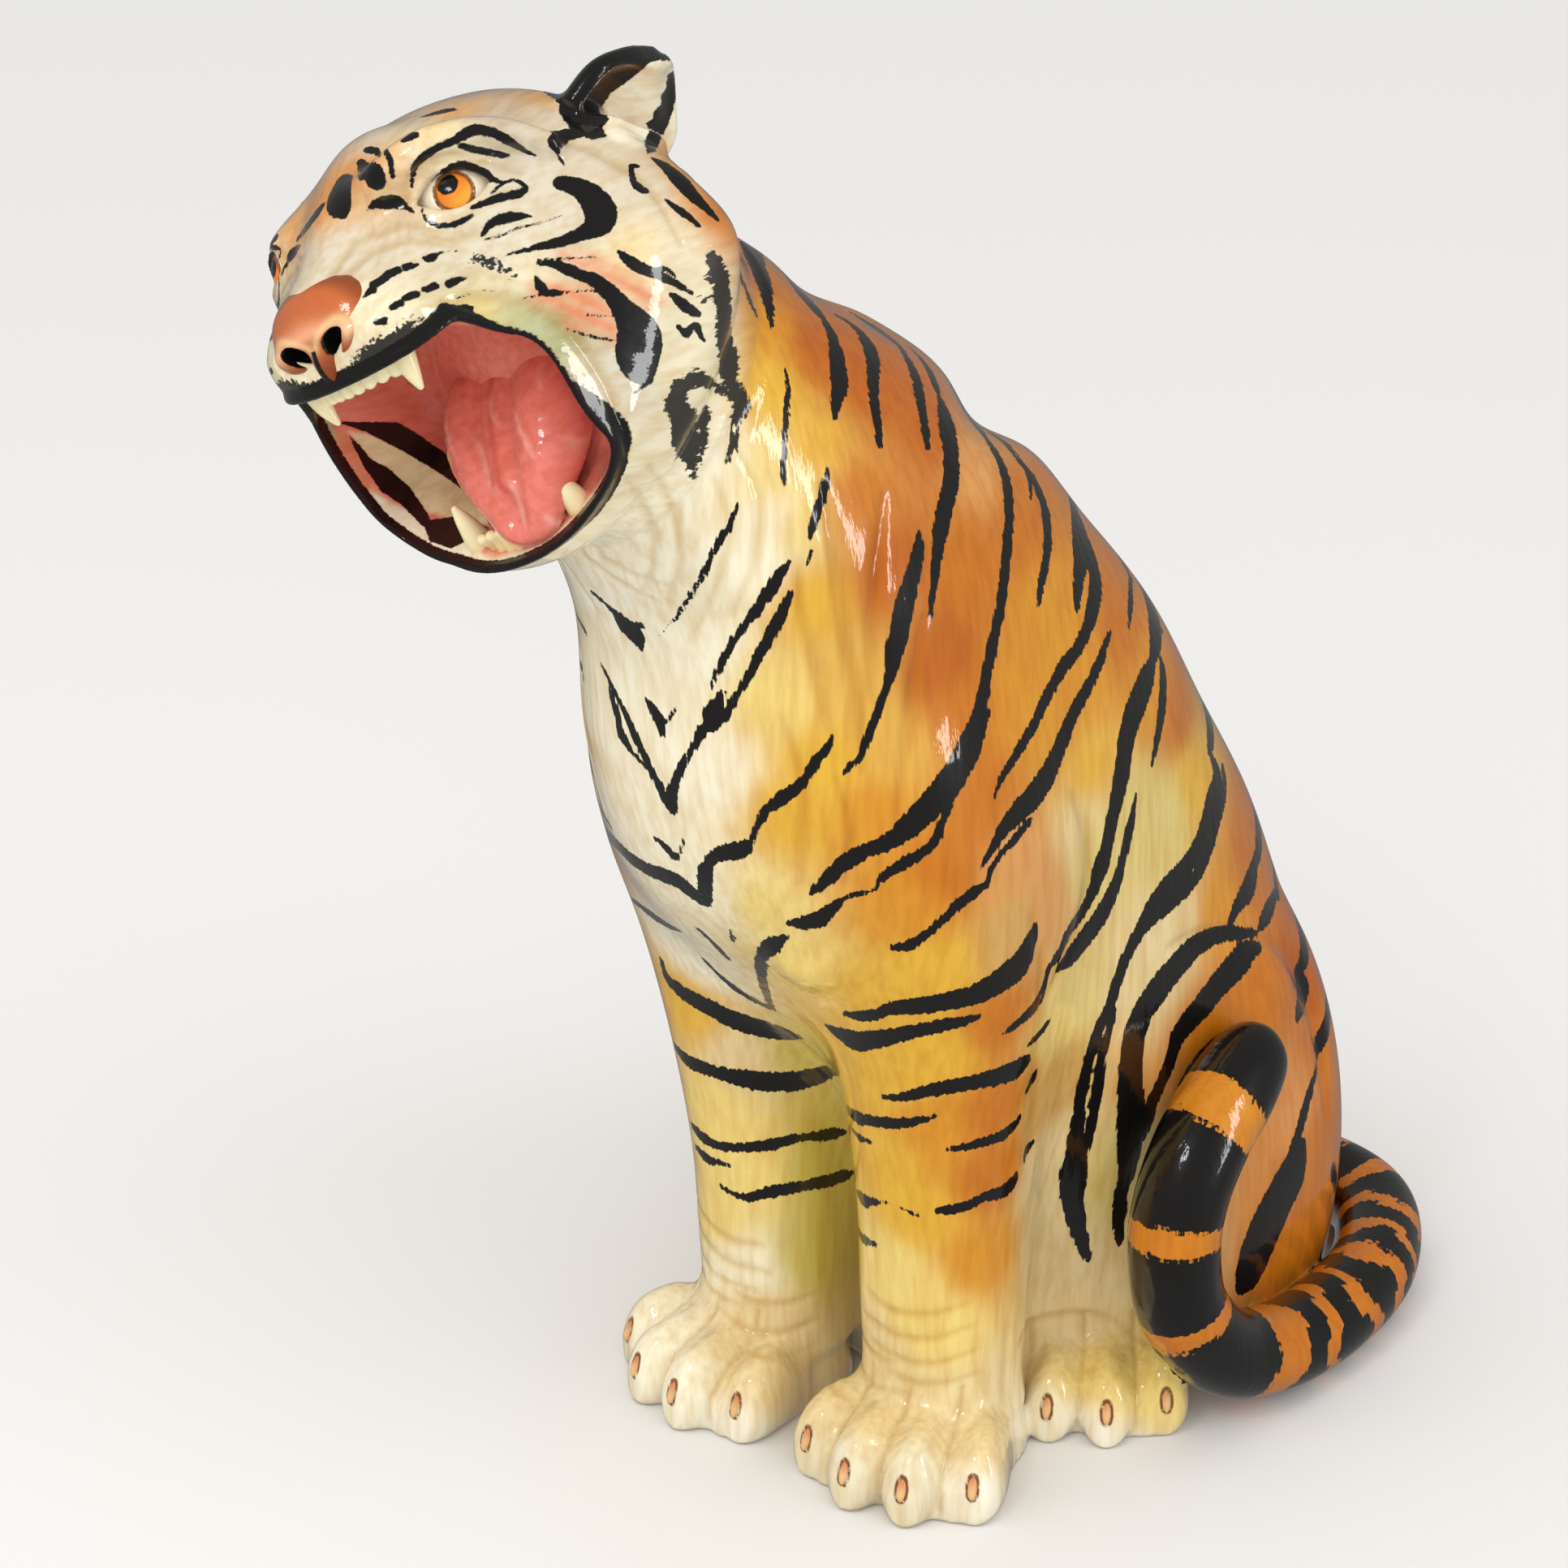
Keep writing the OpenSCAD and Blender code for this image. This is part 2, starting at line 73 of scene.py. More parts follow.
# Torso from the floor up: height, side shift, front, back, half width, squareness
TORSO = [
    (-8, 0, 27, 312, 116, 2.5),
    (0, 0, 27, 312, 116, 2.5),
    (60, 0, 23, 328, 128, 2.5),
    (140, 0, 8, 332, 136, 2.6),
    (220, 0, -24, 319, 136, 2.6),
    (300, 0, -90, 284, 131, 2.6),
    (380, 0, -150, 234, 127, 2.6),
    (460, 0, -178, 174, 122, 2.5),
    (540, 0, -190, 110, 112, 2.4),
    (600, -8, -216, 70, 106, 2.3),
    (650, -20, -246, 19, 98, 2.2),
    (690, -32, -268, -34, 92, 2.1),
    (728, -42, -274, -88, 80, 2.0),
    (756, -50, -256, -130, 54, 2.0),
]
# Foreleg from the floor up: height, distance from the middle, middle, half width, forward, backward
LEG = [
    (35, 62, -12, 45, 44, 44),
    (96, 62, -14, 47, 46, 47),
    (160, 63, -16, 48, 49, 50),
    (235, 66, -22, 53, 55, 56),
    (310, 72, -32, 56, 62, 64),
    (380, 78, -46, 55, 68, 76),
    (440, 78, -58, 48, 68, 76),
    (488, 76, -62, 35, 52, 60),
    (520, 74, -64, 13, 20, 24),
]
# Paw from heel to knuckles: distance, half width, height. Toes: distance from the middle, tip, fan angle
PAW = [(0, 37, 36), (14, 48, 58), (50, 51, 70), (68, 52, 58), (88, 50, 46), (105, 42, 35)]
TOES = [(-40, 104, -14), (-13.6, 123, -5), (13.6, 123, 5), (40, 104, 14)]
TOE = [(0, 0.72, 0.8), (0.35, 0.95, 1), (0.7, 1, 0.94), (0.9, 0.82, 0.74), (1, 0.45, 0.42)]
PAW_BELOW = 8.0
TOE_LENGTH = 56.0
TOE_WIDTH = 32.5
TOE_FULL = 16.0
TOE_HEIGHT = 50.0
CLAW_UP = 26.0
FRONT_HEEL = (58.0, 14.0)
FRONT_TURN = 12.0
HIND_HEEL = (70.0, 131.0)
HIND_TURN = 30.0
HIND_SIZE = 0.96
# Thigh from the floor up: height, half width, forward, backward
THIGH = [
    (-8, 52, 97, 95),
    (0, 52, 97, 95),
    (50, 60, 112, 107),
    (112, 64, 117, 111),
    (172, 60, 105, 105),
    (226, 50, 81, 87),
    (266, 34, 53, 59),
    (288, 14, 20, 23),
]
THIGH_SIDE = 101.0
THIGH_MID = 198.0
THIGH_HEIGHT = 288.0
THIGH_LEAN = 14.0
# Tail from the rump to the tip: place and radius
TAIL = [
    (26, 322, 45, 24.3),
    (84, 352, 31, 25.7),
    (136, 338, 28, 27),
    (173.8, 280, 28, 27),
    (185.8, 216, 28, 27),
    (183.8, 158, 31, 27),
    (177.8, 108, 49, 27),
    (171.8, 72, 91, 27),
    (169.8, 62, 135, 27),
    (169.8, 68, 169, 27),
    (168.8, 90, 197, 27),
    (166.8, 122, 217, 26),
    (163.8, 146, 228, 21),
    (162.5, 157, 231, 10),
]
# Head from the nape forward: distance back, middle height, half width, up, down, squareness
HEAD = [
    (100, -4, 26, 24, 26, 2),
    (88, -4, 62, 56, 62, 2),
    (60, -6, 96, 82, 92, 2.1),
    (20, -10, 117, 103, 110, 2.1),
    (-20, -18, 116, 114, 117, 2.1),
    (-50, -25, 103, 113, 112, 2.2),
    (-72, -22, 85, 101, 98, 2.6),
    (-95, -13, 65, 74, 76, 2.7),
    (-118, -5, 53, 42, 42, 2.4),
    (-138, -4, 43, 30, 27, 2.3),
    (-148, -5, 30, 20, 17, 2.2),
]
# Mouth: middle, slope, and sections inward: share of the depth, side, lower and upper shrink
MOUTH_MID = np.array([0.0, -86.0, -97.0])
MOUTH_SLOPE = 55.0
MOUTH_DEPTH = 104.0
MOUTH_HALF = 80.0
MOUTH_RISE = 90.0
MOUTH_DROP = 38.0
MOUTH = [
    (-0.5, -6, -6, -8), (0, 0, 0, 0), (0.3, 1, 3, 3), (0.58, 6, 7, 12), (0.82, 22, 14, 34), (1, 52, 26, 68),
]
MOUTH_SQUARE = (2.3, 4)
JAW_SEAM = -112.0
# Ear: foot, way, opening, and sections: share of the length, half width, half depth, shift to the front
EAR_FOOT = np.array([76.0, 18.0, 58.0])
EAR_WAY = np.array([0.47, 0.79, 0.39])
EAR_OPEN = np.array([0.62, 0.0, -0.78])
EAR_LENGTH = 54.0
EAR = [
    (-0.3, 37, 12.6, -3), (0.1, 42, 13.3, -2), (0.45, 38.5, 11.1, -7), (0.75, 27, 7.4, -11),
    (0.93, 16, 4.4, -13), (1, 6, 2.2, -14),
]
EYE_MID = np.array([49.0, -73.0, 44.0])
EYE_AXIS = np.array([0.6, -0.79, 0.12])
EYE_RADIUS = 19.0
# Forms of the face: ropes as rows of place and radius, ellipsoids as middle and half axes
BRIDGE = [(0, -58, 66, 22), (0, -84, 50, 20), (0, -112, 30, 18), (0, -134, 14, 15)]
CHEEK_RUFF = [(66, -20, -104, 10), (92, -4, -72, 13), (108, 14, -30, 13), (110, 26, 10, 11), (100, 36, 44, 8)]
BROW = [(14, -92, 60, 8), (36, -100, 65, 9), (58, -90, 70, 9), (78, -66, 66, 7), (92, -44, 52, 4)]
WHISKER_PAD = ((25, -121, -6), (25, 27, 19))
CHIN = ((0, -48, -119), (40, 30, 17))
NOSE_POCKET = ((0, -138, 6), (26, 19, 19))
EAR_WALL = 6.0
LID_THICK = 3.2
SLIT_HALF = 18.0
SLIT_TOP = 10.0
SLIT_LOW = -8.2
SLIT_FRONT = 9.0
LIP_ROLL = 4.6
# Squareness of the limbs' outlines: 2 is an ellipse
LIMB_SQUARE = 2.2
PAW_SQUARE = 2.3
TOE_SQUARE = 2.1
# How softly two forms run into each other, in millimetres
BLEND = {
    "toes": 8, "toes_to_paw": 9, "paw_to_leg": 13, "legs": 5, "legs_to_torso": 30, "thighs": 5,
    "thighs_to_torso": 13, "hind_paws": 3, "hind_paws_to_torso": 7, "tail": 5, "neck": 22, "lips": 5,
    "ear_rim": 3, "ears": 8,
}
# Evening out of a skin: times and share of the way to the neighbours' middle
EVEN = (2, 0.35)

X = np.array([1.0, 0.0, 0.0])
Y = np.array([0.0, 1.0, 0.0])
Z = np.array([0.0, 0.0, 1.0])


def unit(v):
    v = np.asarray(v, float)
    return v / np.maximum(np.linalg.norm(v, axis=-1, keepdims=True), 1e-12)


def turn(axis, degrees):
    return np.array(Matrix.Rotation(math.radians(degrees), 3, axis))


HEAD_POSE = turn("Z", HEAD_TURN) @ turn("X", -HEAD_LIFT) @ turn("Y", -HEAD_TILT)


def head_to_body(points):
    return np.asarray(points, float) @ HEAD_POSE.T + HEAD_MID


def body_to_head(points):
    return (np.asarray(points, float) - HEAD_MID) @ HEAD_POSE


def flow(rows, n):
    """Smooth curve through rows of numbers, with n steps between two rows."""
    rows = np.asarray(rows, float)
    out = []
    for k in range(len(rows) - 1):
        p, q, r = rows[max(k - 1, 0)], rows[k], rows[k + 1]
        s = rows[min(k + 2, len(rows) - 1)]
        for i in range(n):
            t = i / n
            out.append(
                q + (r - p) * (t / 2)
                + (2 * p - 5 * q + 4 * r - s) * (t * t / 2)
                + (3 * q - p - 3 * r + s) * (t ** 3 / 2)
            )
    out.append(rows[-1])
    return np.array(out)


def power(v, n):
    return np.sign(v) * np.abs(v) ** (2 / n)


def outline(c, u, v, w, a, b, n, sides):
    """Closed outline round c: half width w along u, reach a along v and b against it, squareness n."""
    t = np.linspace(0, 2 * math.pi, sides, endpoint=False)
    k = np.sin(t)
    m = np.where(k > 0, n[0], n[1]) if isinstance(n, tuple) else n
    x = w * power(np.cos(t), m)
    y = np.where(k > 0, a, b) * power(k, m)
    return np.asarray(c) + x[:, None] * np.asarray(u) + y[:, None] * np.asarray(v)


def loft(rings):
    """Closed solid through a row of outlines: points, triangles, quads."""
    rings = np.asarray(rings)
    count, n = rings.shape[:2]
    points = np.vstack([rings.reshape(-1, 3), rings[0].mean(0), rings[-1].mean(0)])
    i = np.arange(n)
    j = (i + 1) % n
    strip = np.stack([i, j, n + j, n + i], 1)
    quads = np.vstack([strip + k * n for k in range(count - 1)])
    top = (count - 1) * n
    first, last = np.full(n, count * n), np.full(n, count * n + 1)
    tris = np.vstack([np.stack([j, i, first], 1), np.stack([top + i, top + j, last], 1)])
    return points, tris, quads


def moved(solid, matrix=None, shift=(0, 0, 0)):
    points, tris, quads = solid
    if matrix is not None:
        points = points @ matrix.T
    return points + np.asarray(shift), tris, quads


def smin(a, b, k):
    """Soft union of two distances, blended over k millimetres."""
    h = np.maximum(k - np.abs(a - b), 0)
    return np.minimum(a, b) - h * h * (0.25 / k)


def smax(a, b, k):
    return -smin(-a, -b, k)


class Field:
    """Grid of distances in millimetres on which soft unions of solids are made."""

    def __init__(self, low, high, voxel):
        self.voxel = voxel
        self.lo = np.floor(np.array(low) / voxel).astype(int)
        self.shape = tuple(np.ceil(np.array(high) / voxel).astype(int) - self.lo + 1)

    def solid(self, solid, reach):
        points, tris, quads = solid
        grid = vdb.FloatGrid.createLevelSetFromPolygons(
            points.astype(np.float32), triangles=tris.astype(np.uint32), quads=quads.astype(np.uint32),
            transform=vdb.createLinearTransform(self.voxel), halfWidth=reach / self.voxel)
        out = np.empty(self.shape, np.float32)
        grid.copyToArray(out, ijk=tuple(int(v) for v in self.lo))
        return out

    def axes(self):
        return [((self.lo[k] + np.arange(self.shape[k])) * self.voxel).astype(np.float32) for k in range(3)]

    def window(self, low, high):
        """Slices and open coordinate arrays of a box."""
        a = np.clip(np.floor(np.array(low) / self.voxel).astype(int) - self.lo, 0, np.array(self.shape) - 1)
        b = np.clip(np.ceil(np.array(high) / self.voxel).astype(int) - self.lo + 1, a + 1, self.shape)
        part = tuple(slice(a[k], b[k]) for k in range(3))
        x, y, z = (self.axes()[k][part[k]] for k in range(3))
        return part, x[:, None, None], y[None, :, None], z[None, None, :]

    def at(self, values, points):
        """Value of a grid at points, by linear interpolation."""
        p = np.asarray(points) / self.voxel - self.lo
        p = np.clip(p, 0, np.array(self.shape) - 1.001)
        i = p.astype(int)
        f = p - i
        out = 0.0
        for dx in (0, 1):
            for dy in (0, 1):
                for dz in (0, 1):
                    w = np.where(dx, f[:, 0], 1 - f[:, 0])
                    w = w * np.where(dy, f[:, 1], 1 - f[:, 1])
                    w = w * np.where(dz, f[:, 2], 1 - f[:, 2])
                    out = out + w * values[i[:, 0] + dx, i[:, 1] + dy, i[:, 2] + dz]
        return out

    def surface(self, values):
        band = 3 * self.voxel
        grid = vdb.FloatGrid(band)
        grid.copyFromArray(np.clip(values, -band, band), ijk=tuple(int(v) for v in self.lo))
        grid.transform = vdb.createLinearTransform(self.voxel)
        points, quads = grid.convertToQuads(0.0)
        quads = quads.astype(np.int64)
        outer = self.at(values, points[quads[:, 0]] + self.voxel * unit(quad_ways(points, quads)))
        return points.astype(float), quads[:, ::-1] if np.median(outer) < 0 else quads


def quad_ways(points, quads):
    """Way out of each quad, longer for a larger one."""
    return np.cross(points[quads[:, 2]] - points[quads[:, 0]], points[quads[:, 3]] - points[quads[:, 1]])


def point_normals(points, quads):
    ways = quad_ways(points, quads)
    out = np.zeros_like(points)
    for k in range(4):
        for axis in range(3):
            out[:, axis] += np.bincount(quads[:, k], ways[:, axis], len(points))
    return unit(out)


def relaxed(points, quads, times, amount):
    """Evens a surface out by moving each point towards the middle of its neighbours."""
    a = np.concatenate([quads[:, k] for k in range(4)])
    b = np.concatenate([quads[:, (k + 1) % 4] for k in range(4)])
    one, two = np.concatenate([a, b]), np.concatenate([b, a])
    count = np.maximum(np.bincount(one, minlength=len(points)), 1)
    for _ in range(times):
        mean = np.stack([np.bincount(one, points[two, k], len(points)) / count for k in range(3)], 1)
        points = points + amount * (mean - points)
    return points


def ball(x, y, z, c, r):
    """Distance to a ball."""
    return np.sqrt((x - c[0]) ** 2 + (y - c[1]) ** 2 + (z - c[2]) ** 2) - r


def ellipsoid(x, y, z, c, r):
    """Distance to an ellipsoid, close enough near its surface."""
    u = [(v - c[k]) / r[k] for k, v in enumerate((x, y, z))]
    w = [(v - c[k]) / r[k] ** 2 for k, v in enumerate((x, y, z))]
    a = np.sqrt(u[0] ** 2 + u[1] ** 2 + u[2] ** 2)
    b = np.sqrt(w[0] ** 2 + w[1] ** 2 + w[2] ** 2)
    return a * (a - 1) / np.maximum(b, 1e-6)


def rope(x, y, z, rows):
    """Distance to a round rope through rows of place and radius."""
    rows = flow(rows, 4)
    best = None
    for p, q in zip(rows[:-1], rows[1:]):
        d = q[:3] - p[:3]
        t = ((x - p[0]) * d[0] + (y - p[1]) * d[1] + (z - p[2]) * d[2]) / max(d @ d, 1e-9)
        t = np.clip(t, 0, 1)
        gap = np.sqrt((x - p[0] - t * d[0]) ** 2 + (y - p[1] - t * d[1]) ** 2 + (z - p[2] - t * d[2]) ** 2)
        gap = gap - (p[3] + t * (q[3] - p[3]))
        best = gap if best is None else np.minimum(best, gap)
    return best


def torso_solid():
    rings = []
    for height, shift, front, back, half, square in flow(TORSO, 10):
        reach = (back - front) / 2
        rings.append(outline((shift, (front + back) / 2, height), X, Y, half, reach, reach, square, sides=96))
    return loft(rings)


def leg_solid():
    return loft([
        outline((side, middle, height), X, Y, half, backward, forward, LIMB_SQUARE, sides=72)
        for height, side, middle, half, forward, backward in flow(LEG, 10)])


def thigh_solid():
    rings = []
    for height, half, forward, backward in flow(THIGH, 10):
        side = THIGH_SIDE - THIGH_LEAN * (height / THIGH_HEIGHT) ** 2
        rings.append(outline((side, THIGH_MID, height), X, Y, half, backward, forward, LIMB_SQUARE, sides=72))
    return loft(rings)


def pad_solid():
    return loft([
        outline((0, -distance, 0), X, Z, half, height, PAW_BELOW, PAW_SQUARE, sides=48)
        for distance, half, height in flow(PAW, 10)])


def toe_solid(toe):
    rings = []
    for share, width, height in flow(TOE, 8):
        middle = (0, -TOE_LENGTH * share, TOE_FULL)
        up, down = TOE_HEIGHT * height - TOE_FULL, (TOE_FULL + 4) * (0.55 + 0.45 * height)
        rings.append(outline(middle, X, Z, TOE_WIDTH / 2 * width, up, down, TOE_SQUARE, sides=40))
    return moved(loft(rings), turn("Z", toe[2]), (toe[0], TOE_LENGTH - toe[1], 0))


def tail_solid():
    rows = flow(TAIL, 10)
    rings = []
    for k, r in enumerate(rows):
        way = unit(rows[min(k + 1, len(rows) - 1)][:3] - rows[max(k - 1, 0)][:3])
        u = unit(np.cross(way, (0.3, -0.1, 1)))
        rings.append(outline(r[:3], u, np.cross(way, u), r[3], r[3], r[3], 2, sides=40))
    return loft(rings)


def head_solid():
    return loft([
        outline((0, distance, middle), X, Z, half, up, down, square, sides=112)
        for distance, middle, half, up, down, square in flow(HEAD, 12)])


LIP_WAY = np.array([0, math.cos(math.radians(MOUTH_SLOPE)), -math.sin(math.radians(MOUTH_SLOPE))])
THROAT_WAY = np.array([0, math.sin(math.radians(MOUTH_SLOPE)), math.cos(math.radians(MOUTH_SLOPE))])


def mouth_solid():
    return loft([
        outline(
            MOUTH_MID + THROAT_WAY * (share * MOUTH_DEPTH), X, LIP_WAY,
            MOUTH_HALF - side, MOUTH_DROP - lower, MOUTH_RISE - upper, MOUTH_SQUARE, sides=96)
        for share, side, lower, upper in flow(MOUTH, 10)])


def ear_solid(inset):
    way = unit(EAR_WAY)
    opening = unit(EAR_OPEN - way * (EAR_OPEN @ way))
    side = np.cross(opening, way)
    rings = []
    for share, half, deep, shift in flow(EAR, 10):
        middle = EAR_FOOT + way * (EAR_LENGTH * share) + side * shift + opening * inset
        rings.append(outline(middle, side, opening, max(half - inset * 0.8, 1), deep, deep, 2, sides=48))
    return loft(rings)


def at_heel(solid, heel, angle, size):
    return moved(moved(solid, turn("Z", angle) * size), None, (heel[0], heel[1], 0))


def paw_field(grid, heel, angle, size):
    pad, *toes = [
        grid.solid(at_heel(solid, heel, angle, size), reach=20)
        for solid in (pad_solid(), *map(toe_solid, TOES))]
    out = toes[0]
    for toe in toes[1:]:
        out = smin(out, toe, BLEND["toes"])
    return smin(pad, out, BLEND["toes_to_paw"])


def both(field, k):
    """A form of the left side and its mirror image."""
    return smin(field, field[::-1], k)


# Body: soft unions of the torso, limbs and tail
body = Field(*BODY_BOX, BODY_VOXEL)
torso = body.solid(torso_solid(), reach=44)
front_paw = paw_field(body, FRONT_HEEL, FRONT_TURN, 1.0)
leg = body.solid(leg_solid(), reach=40)
foreleg = smin(leg, front_paw, BLEND["paw_to_leg"])
hind_paw = paw_field(body, HIND_HEEL, HIND_TURN, HIND_SIZE)
thigh = body.solid(thigh_solid(), reach=30)
tail = body.solid(tail_solid(), reach=24)
head_in_body = body.solid(moved(head_solid(), HEAD_POSE, HEAD_MID), reach=36)
skin = smin(torso, both(foreleg, BLEND["legs"]), BLEND["legs_to_torso"])
skin = smin(skin, both(thigh, BLEND["thighs"]), BLEND["thighs_to_torso"])
skin = smin(skin, both(hind_paw, BLEND["hind_paws"]), BLEND["hind_paws_to_torso"])
skin = smin(skin, tail, BLEND["tail"])
skin = smin(skin, head_in_body, BLEND["neck"])
skin = np.maximum(skin, -body.axes()[2][None, None, :])
body_points, body_quads = body.surface(skin)
body_points = relaxed(body_points, body_quads, *EVEN)
forms = {
    "torso_shell": torso,
    "left_foreleg": leg,
    "right_foreleg": leg[::-1],
    "left_front_paw": front_paw,
    "right_front_paw": front_paw[::-1],
    "left_haunch": thigh,
    "right_haunch": thigh[::-1],
    "left_hind_paw": hind_paw,
    "right_hind_paw": hind_paw[::-1],
    "tail": tail,
    "head": head_in_body,
}

# Head: skull, brow, muzzle, lids, lips and ears, the same on both sides
head = Field(*HEAD_BOX, HEAD_VOXEL)
face = head.solid(head_solid(), reach=30)
mouth = head.solid(mouth_solid(), reach=30)
ear = head.solid(ear_solid(0), reach=14)
ear_inside = head.solid(ear_solid(EAR_WALL), reach=14)
neck = head.solid(moved(moved(torso_solid(), None, -HEAD_MID), HEAD_POSE.T), reach=34)


def add(field, low, high, shape, k, cut=False):
    """Joins a shape, or cuts it away, softly inside a box given for the left side."""
    for sign in (1, -1):
        lo = (min(sign * low[0], sign * high[0]), low[1], low[2])
        hi = (max(sign * low[0], sign * high[0]), high[1], high[2])
        p, x, y, z = head.window(lo, hi)
        d = shape(sign * x, y, z)
        field[p] = smax(field[p], -d, k) if cut else smin(field[p], d, k)
        if low[0] <= 0 and high[0] >= -low[0]:
            break


# Bridge of the nose, whisker pads, chin, cheek ruff and brow
add(face, (-60, -170, -20), (60, -40, 110), lambda x, y, z: rope(x, y, z, BRIDGE), k=20)
add(face, (0, -170, -60), (80, -70, 50), lambda x, y, z: ellipsoid(x, y, z, *WHISKER_PAD), k=10)
add(face, (-70, -110, -156), (70, 10, -80), lambda x, y, z: ellipsoid(x, y, z, *CHIN), k=14)
add(face, (40, -80, -130), (138, 90, 80), lambda x, y, z: rope(x, y, z, CHEEK_RUFF), k=18)
add(face, (0, -140, 10), (120, -10, 110), lambda x, y, z: rope(x, y, z, BROW), k=14)
# The eye's own axes: outwards, to the side and up
eye_axis = unit(EYE_AXIS)
eye_side = unit(np.cross(eye_axis, Z))
eye_side = eye_side if eye_side[0] > 0 else -eye_side
eye_up = unit(np.cross(eye_side, eye_axis))
eye_up = eye_up if eye_up[2] > 0 else -eye_up


def lid_bulge(x, y, z):
    return ball(x, y, z, EYE_MID, EYE_RADIUS + LID_THICK)


def eye_slit(x, y, z):
    """Almond-shaped opening between the lids."""
    q = (x - EYE_MID[0], y - EYE_MID[1], z - EYE_MID[2])
    u, v, a = (sum(q[k] * axis[k] for k in range(3)) for axis in (eye_side, eye_up, eye_axis))
    top = SLIT_TOP * (1 - np.clip(np.abs(u + 1) / SLIT_HALF, 0, 1.5) ** 2.2)
    low = SLIT_LOW * (1 - np.clip(np.abs(u - 1) / SLIT_HALF, 0, 1.5) ** 2.0)
    return np.maximum(np.maximum(v - top, low - v) * 0.8, SLIT_FRONT - a)


add(face, (8, -128, 0), (100, -30, 92), lid_bulge, k=12)
add(face, (8, -128, 0), (100, -30, 92), eye_slit, k=2.0, cut=True)
add(face, (-60, -178, -40), (60, -105, 45), lambda x, y, z: ellipsoid(x, y, z, *NOSE_POCKET), k=3, cut=True)
base_face = face.copy()
# Lips: a rolled rim round the mouth, then the mouth itself
rim = np.sqrt(face ** 2 + mouth ** 2) - LIP_ROLL
face = smin(face, rim, BLEND["lips"])
face = smax(face, -mouth, BLEND["lips"])
ear_shell = smax(ear, -ear_inside, BLEND["ear_rim"])
ears = np.minimum(ear_shell, ear_shell[::-1])
face = smin(face, ears, BLEND["ears"])
face = smin(face, neck, BLEND["neck"])
head_points, head_quads = head.surface(face)
head_points = relaxed(head_points, head_quads, *EVEN)


# Camera
def camera_axes():
    a, e = math.radians(CAMERA_AZIMUTH), math.radians(CAMERA_ELEVATION)
    back = np.array([math.sin(a) * math.cos(e), -math.cos(a) * math.cos(e), math.sin(e)])
    right = np.array([math.cos(a), math.sin(a), 0.0])
    return right, np.cross(back, right), back


RIGHT, UP, BACK = camera_axes()
EYE_POINT = CAMERA_TARGET + BACK * CAMERA_DISTANCE
camera_data = bpy.data.cameras.new("camera")
camera_data.sensor_fit = "HORIZONTAL"
camera_data.sensor_width = SENSOR_MM
camera_data.lens = SENSOR_MM * CAMERA_FOCAL_PX / FRAME_PX
camera_data.clip_end = 50.0
camera = bpy.data.objects.new("camera", camera_data)
camera_place = Matrix.Identity(4)
for k in range(3):
    camera_place[k][0], camera_place[k][1], camera_place[k][2] = RIGHT[k], UP[k], BACK[k]
    camera_place[k][3] = (EYE_POINT[k] + PLACED[k]) * MM
camera.matrix_world = camera_place
bpy.context.scene.collection.objects.link(camera)
bpy.context.scene.camera = camera
bpy.context.scene.view_settings.view_transform = "Standard"


def tint(r, g, b):
    """Colour written as 0 to 255 on a screen, turned to the light values that shaders use."""
    c = np.array([r, g, b]) / 255
    return np.where(c <= 0.04045, c / 12.92, ((c + 0.055) / 1.055) ** 2.4)


ORANGE = tint(198, 116, 18)
RUST = tint(186, 98, 10)
AMBER = tint(213, 146, 36)
GOLD = tint(224, 176, 54)
STRAW = tint(234, 208, 122)
CREAM = tint(244, 238, 212)
PALE = tint(244, 239, 220)
KHAKI = tint(218, 198, 122)
OLIVE = tint(196, 180, 84)
TAN = tint(206, 165, 94)
PEACH = tint(214, 154, 86)
BONE = tint(230, 222, 192)
TERRA = tint(212, 144, 76)
BLUSH = tint(222, 146, 110)
SAGE = tint(168, 172, 128)
OCHRE = tint(222, 176, 80)
LIP_RED = tint(236, 144, 126)
# Darker red for painted shade deep in the mouth and in the tongue's groove
MOUTH_SHADE_RED = tint(204, 84, 72)
TONGUE_RED = tint(228, 124, 112)
TOOTH = tint(240, 230, 186)
NOSE_BROWN = tint(188, 98, 50)
NOSE_LIGHT = tint(236, 170, 132)
NAIL = tint(230, 184, 130)
STONE = tint(210, 202, 182)
SLATE = tint(190, 176, 158)
SAND = tint(228, 206, 152)
WHEAT = tint(222, 200, 150)
# Pale pink for painted highlights along the tongue's ridges, partly pale brush streaks
TONGUE_STREAK_HIGHLIGHT = tint(240, 176, 162)
NOSE_DARK = tint(116, 52, 24)


# Distance in millimetres up to which a layer of brushwork knows its strokes' edges
REACH = 9.0


class Surface:
    """Painted skin: points and normals in the body's axes, a ground colour and layers of brushwork."""

    def __init__(self, points, quads, colour):
        self.points = points
        self.quads = quads
        self.normals = point_normals(points, quads)
        self.ground = np.tile(colour, (len(points), 1)).astype(float)
        # Share of painted shade in the furrows and creases
        self.furrow = np.zeros(len(points))
        self.layers = {name: np.full(len(points), REACH) for name in ("ink", "smoke", "rust")}

    def paint(self, share, colour, pick=slice(None)):
        """Mixes a colour into the ground."""
        self.ground[pick] += np.asarray(share)[:, None] * (colour - self.ground[pick])

    def mark(self, layer, gap, pick=slice(None)):
        """Adds to a layer what lies within the given distances of a stroke's edge."""
        self.layers[layer][pick] = np.minimum(self.layers[layer][pick], gap)

    def smooth(self):
        self.normals = point_normals(self.points, self.quads)


def ease(value, start, end):
    """Smooth step from 0 at start to 1 at end."""
    t = np.clip((value - start) / (end - start), 0, 1)
    return t * t * (3 - 2 * t)


# Shares by which the jaw is drawn in and up from its top, and millimetres by which crown and lip move
JAW_TOP = -10.0
JAW_IN = 0.08
JAW_UP = 0.065
CROWN_DROP = 24.0
LIP_LIFT = 7.0
LIP_DROOP = 9.0


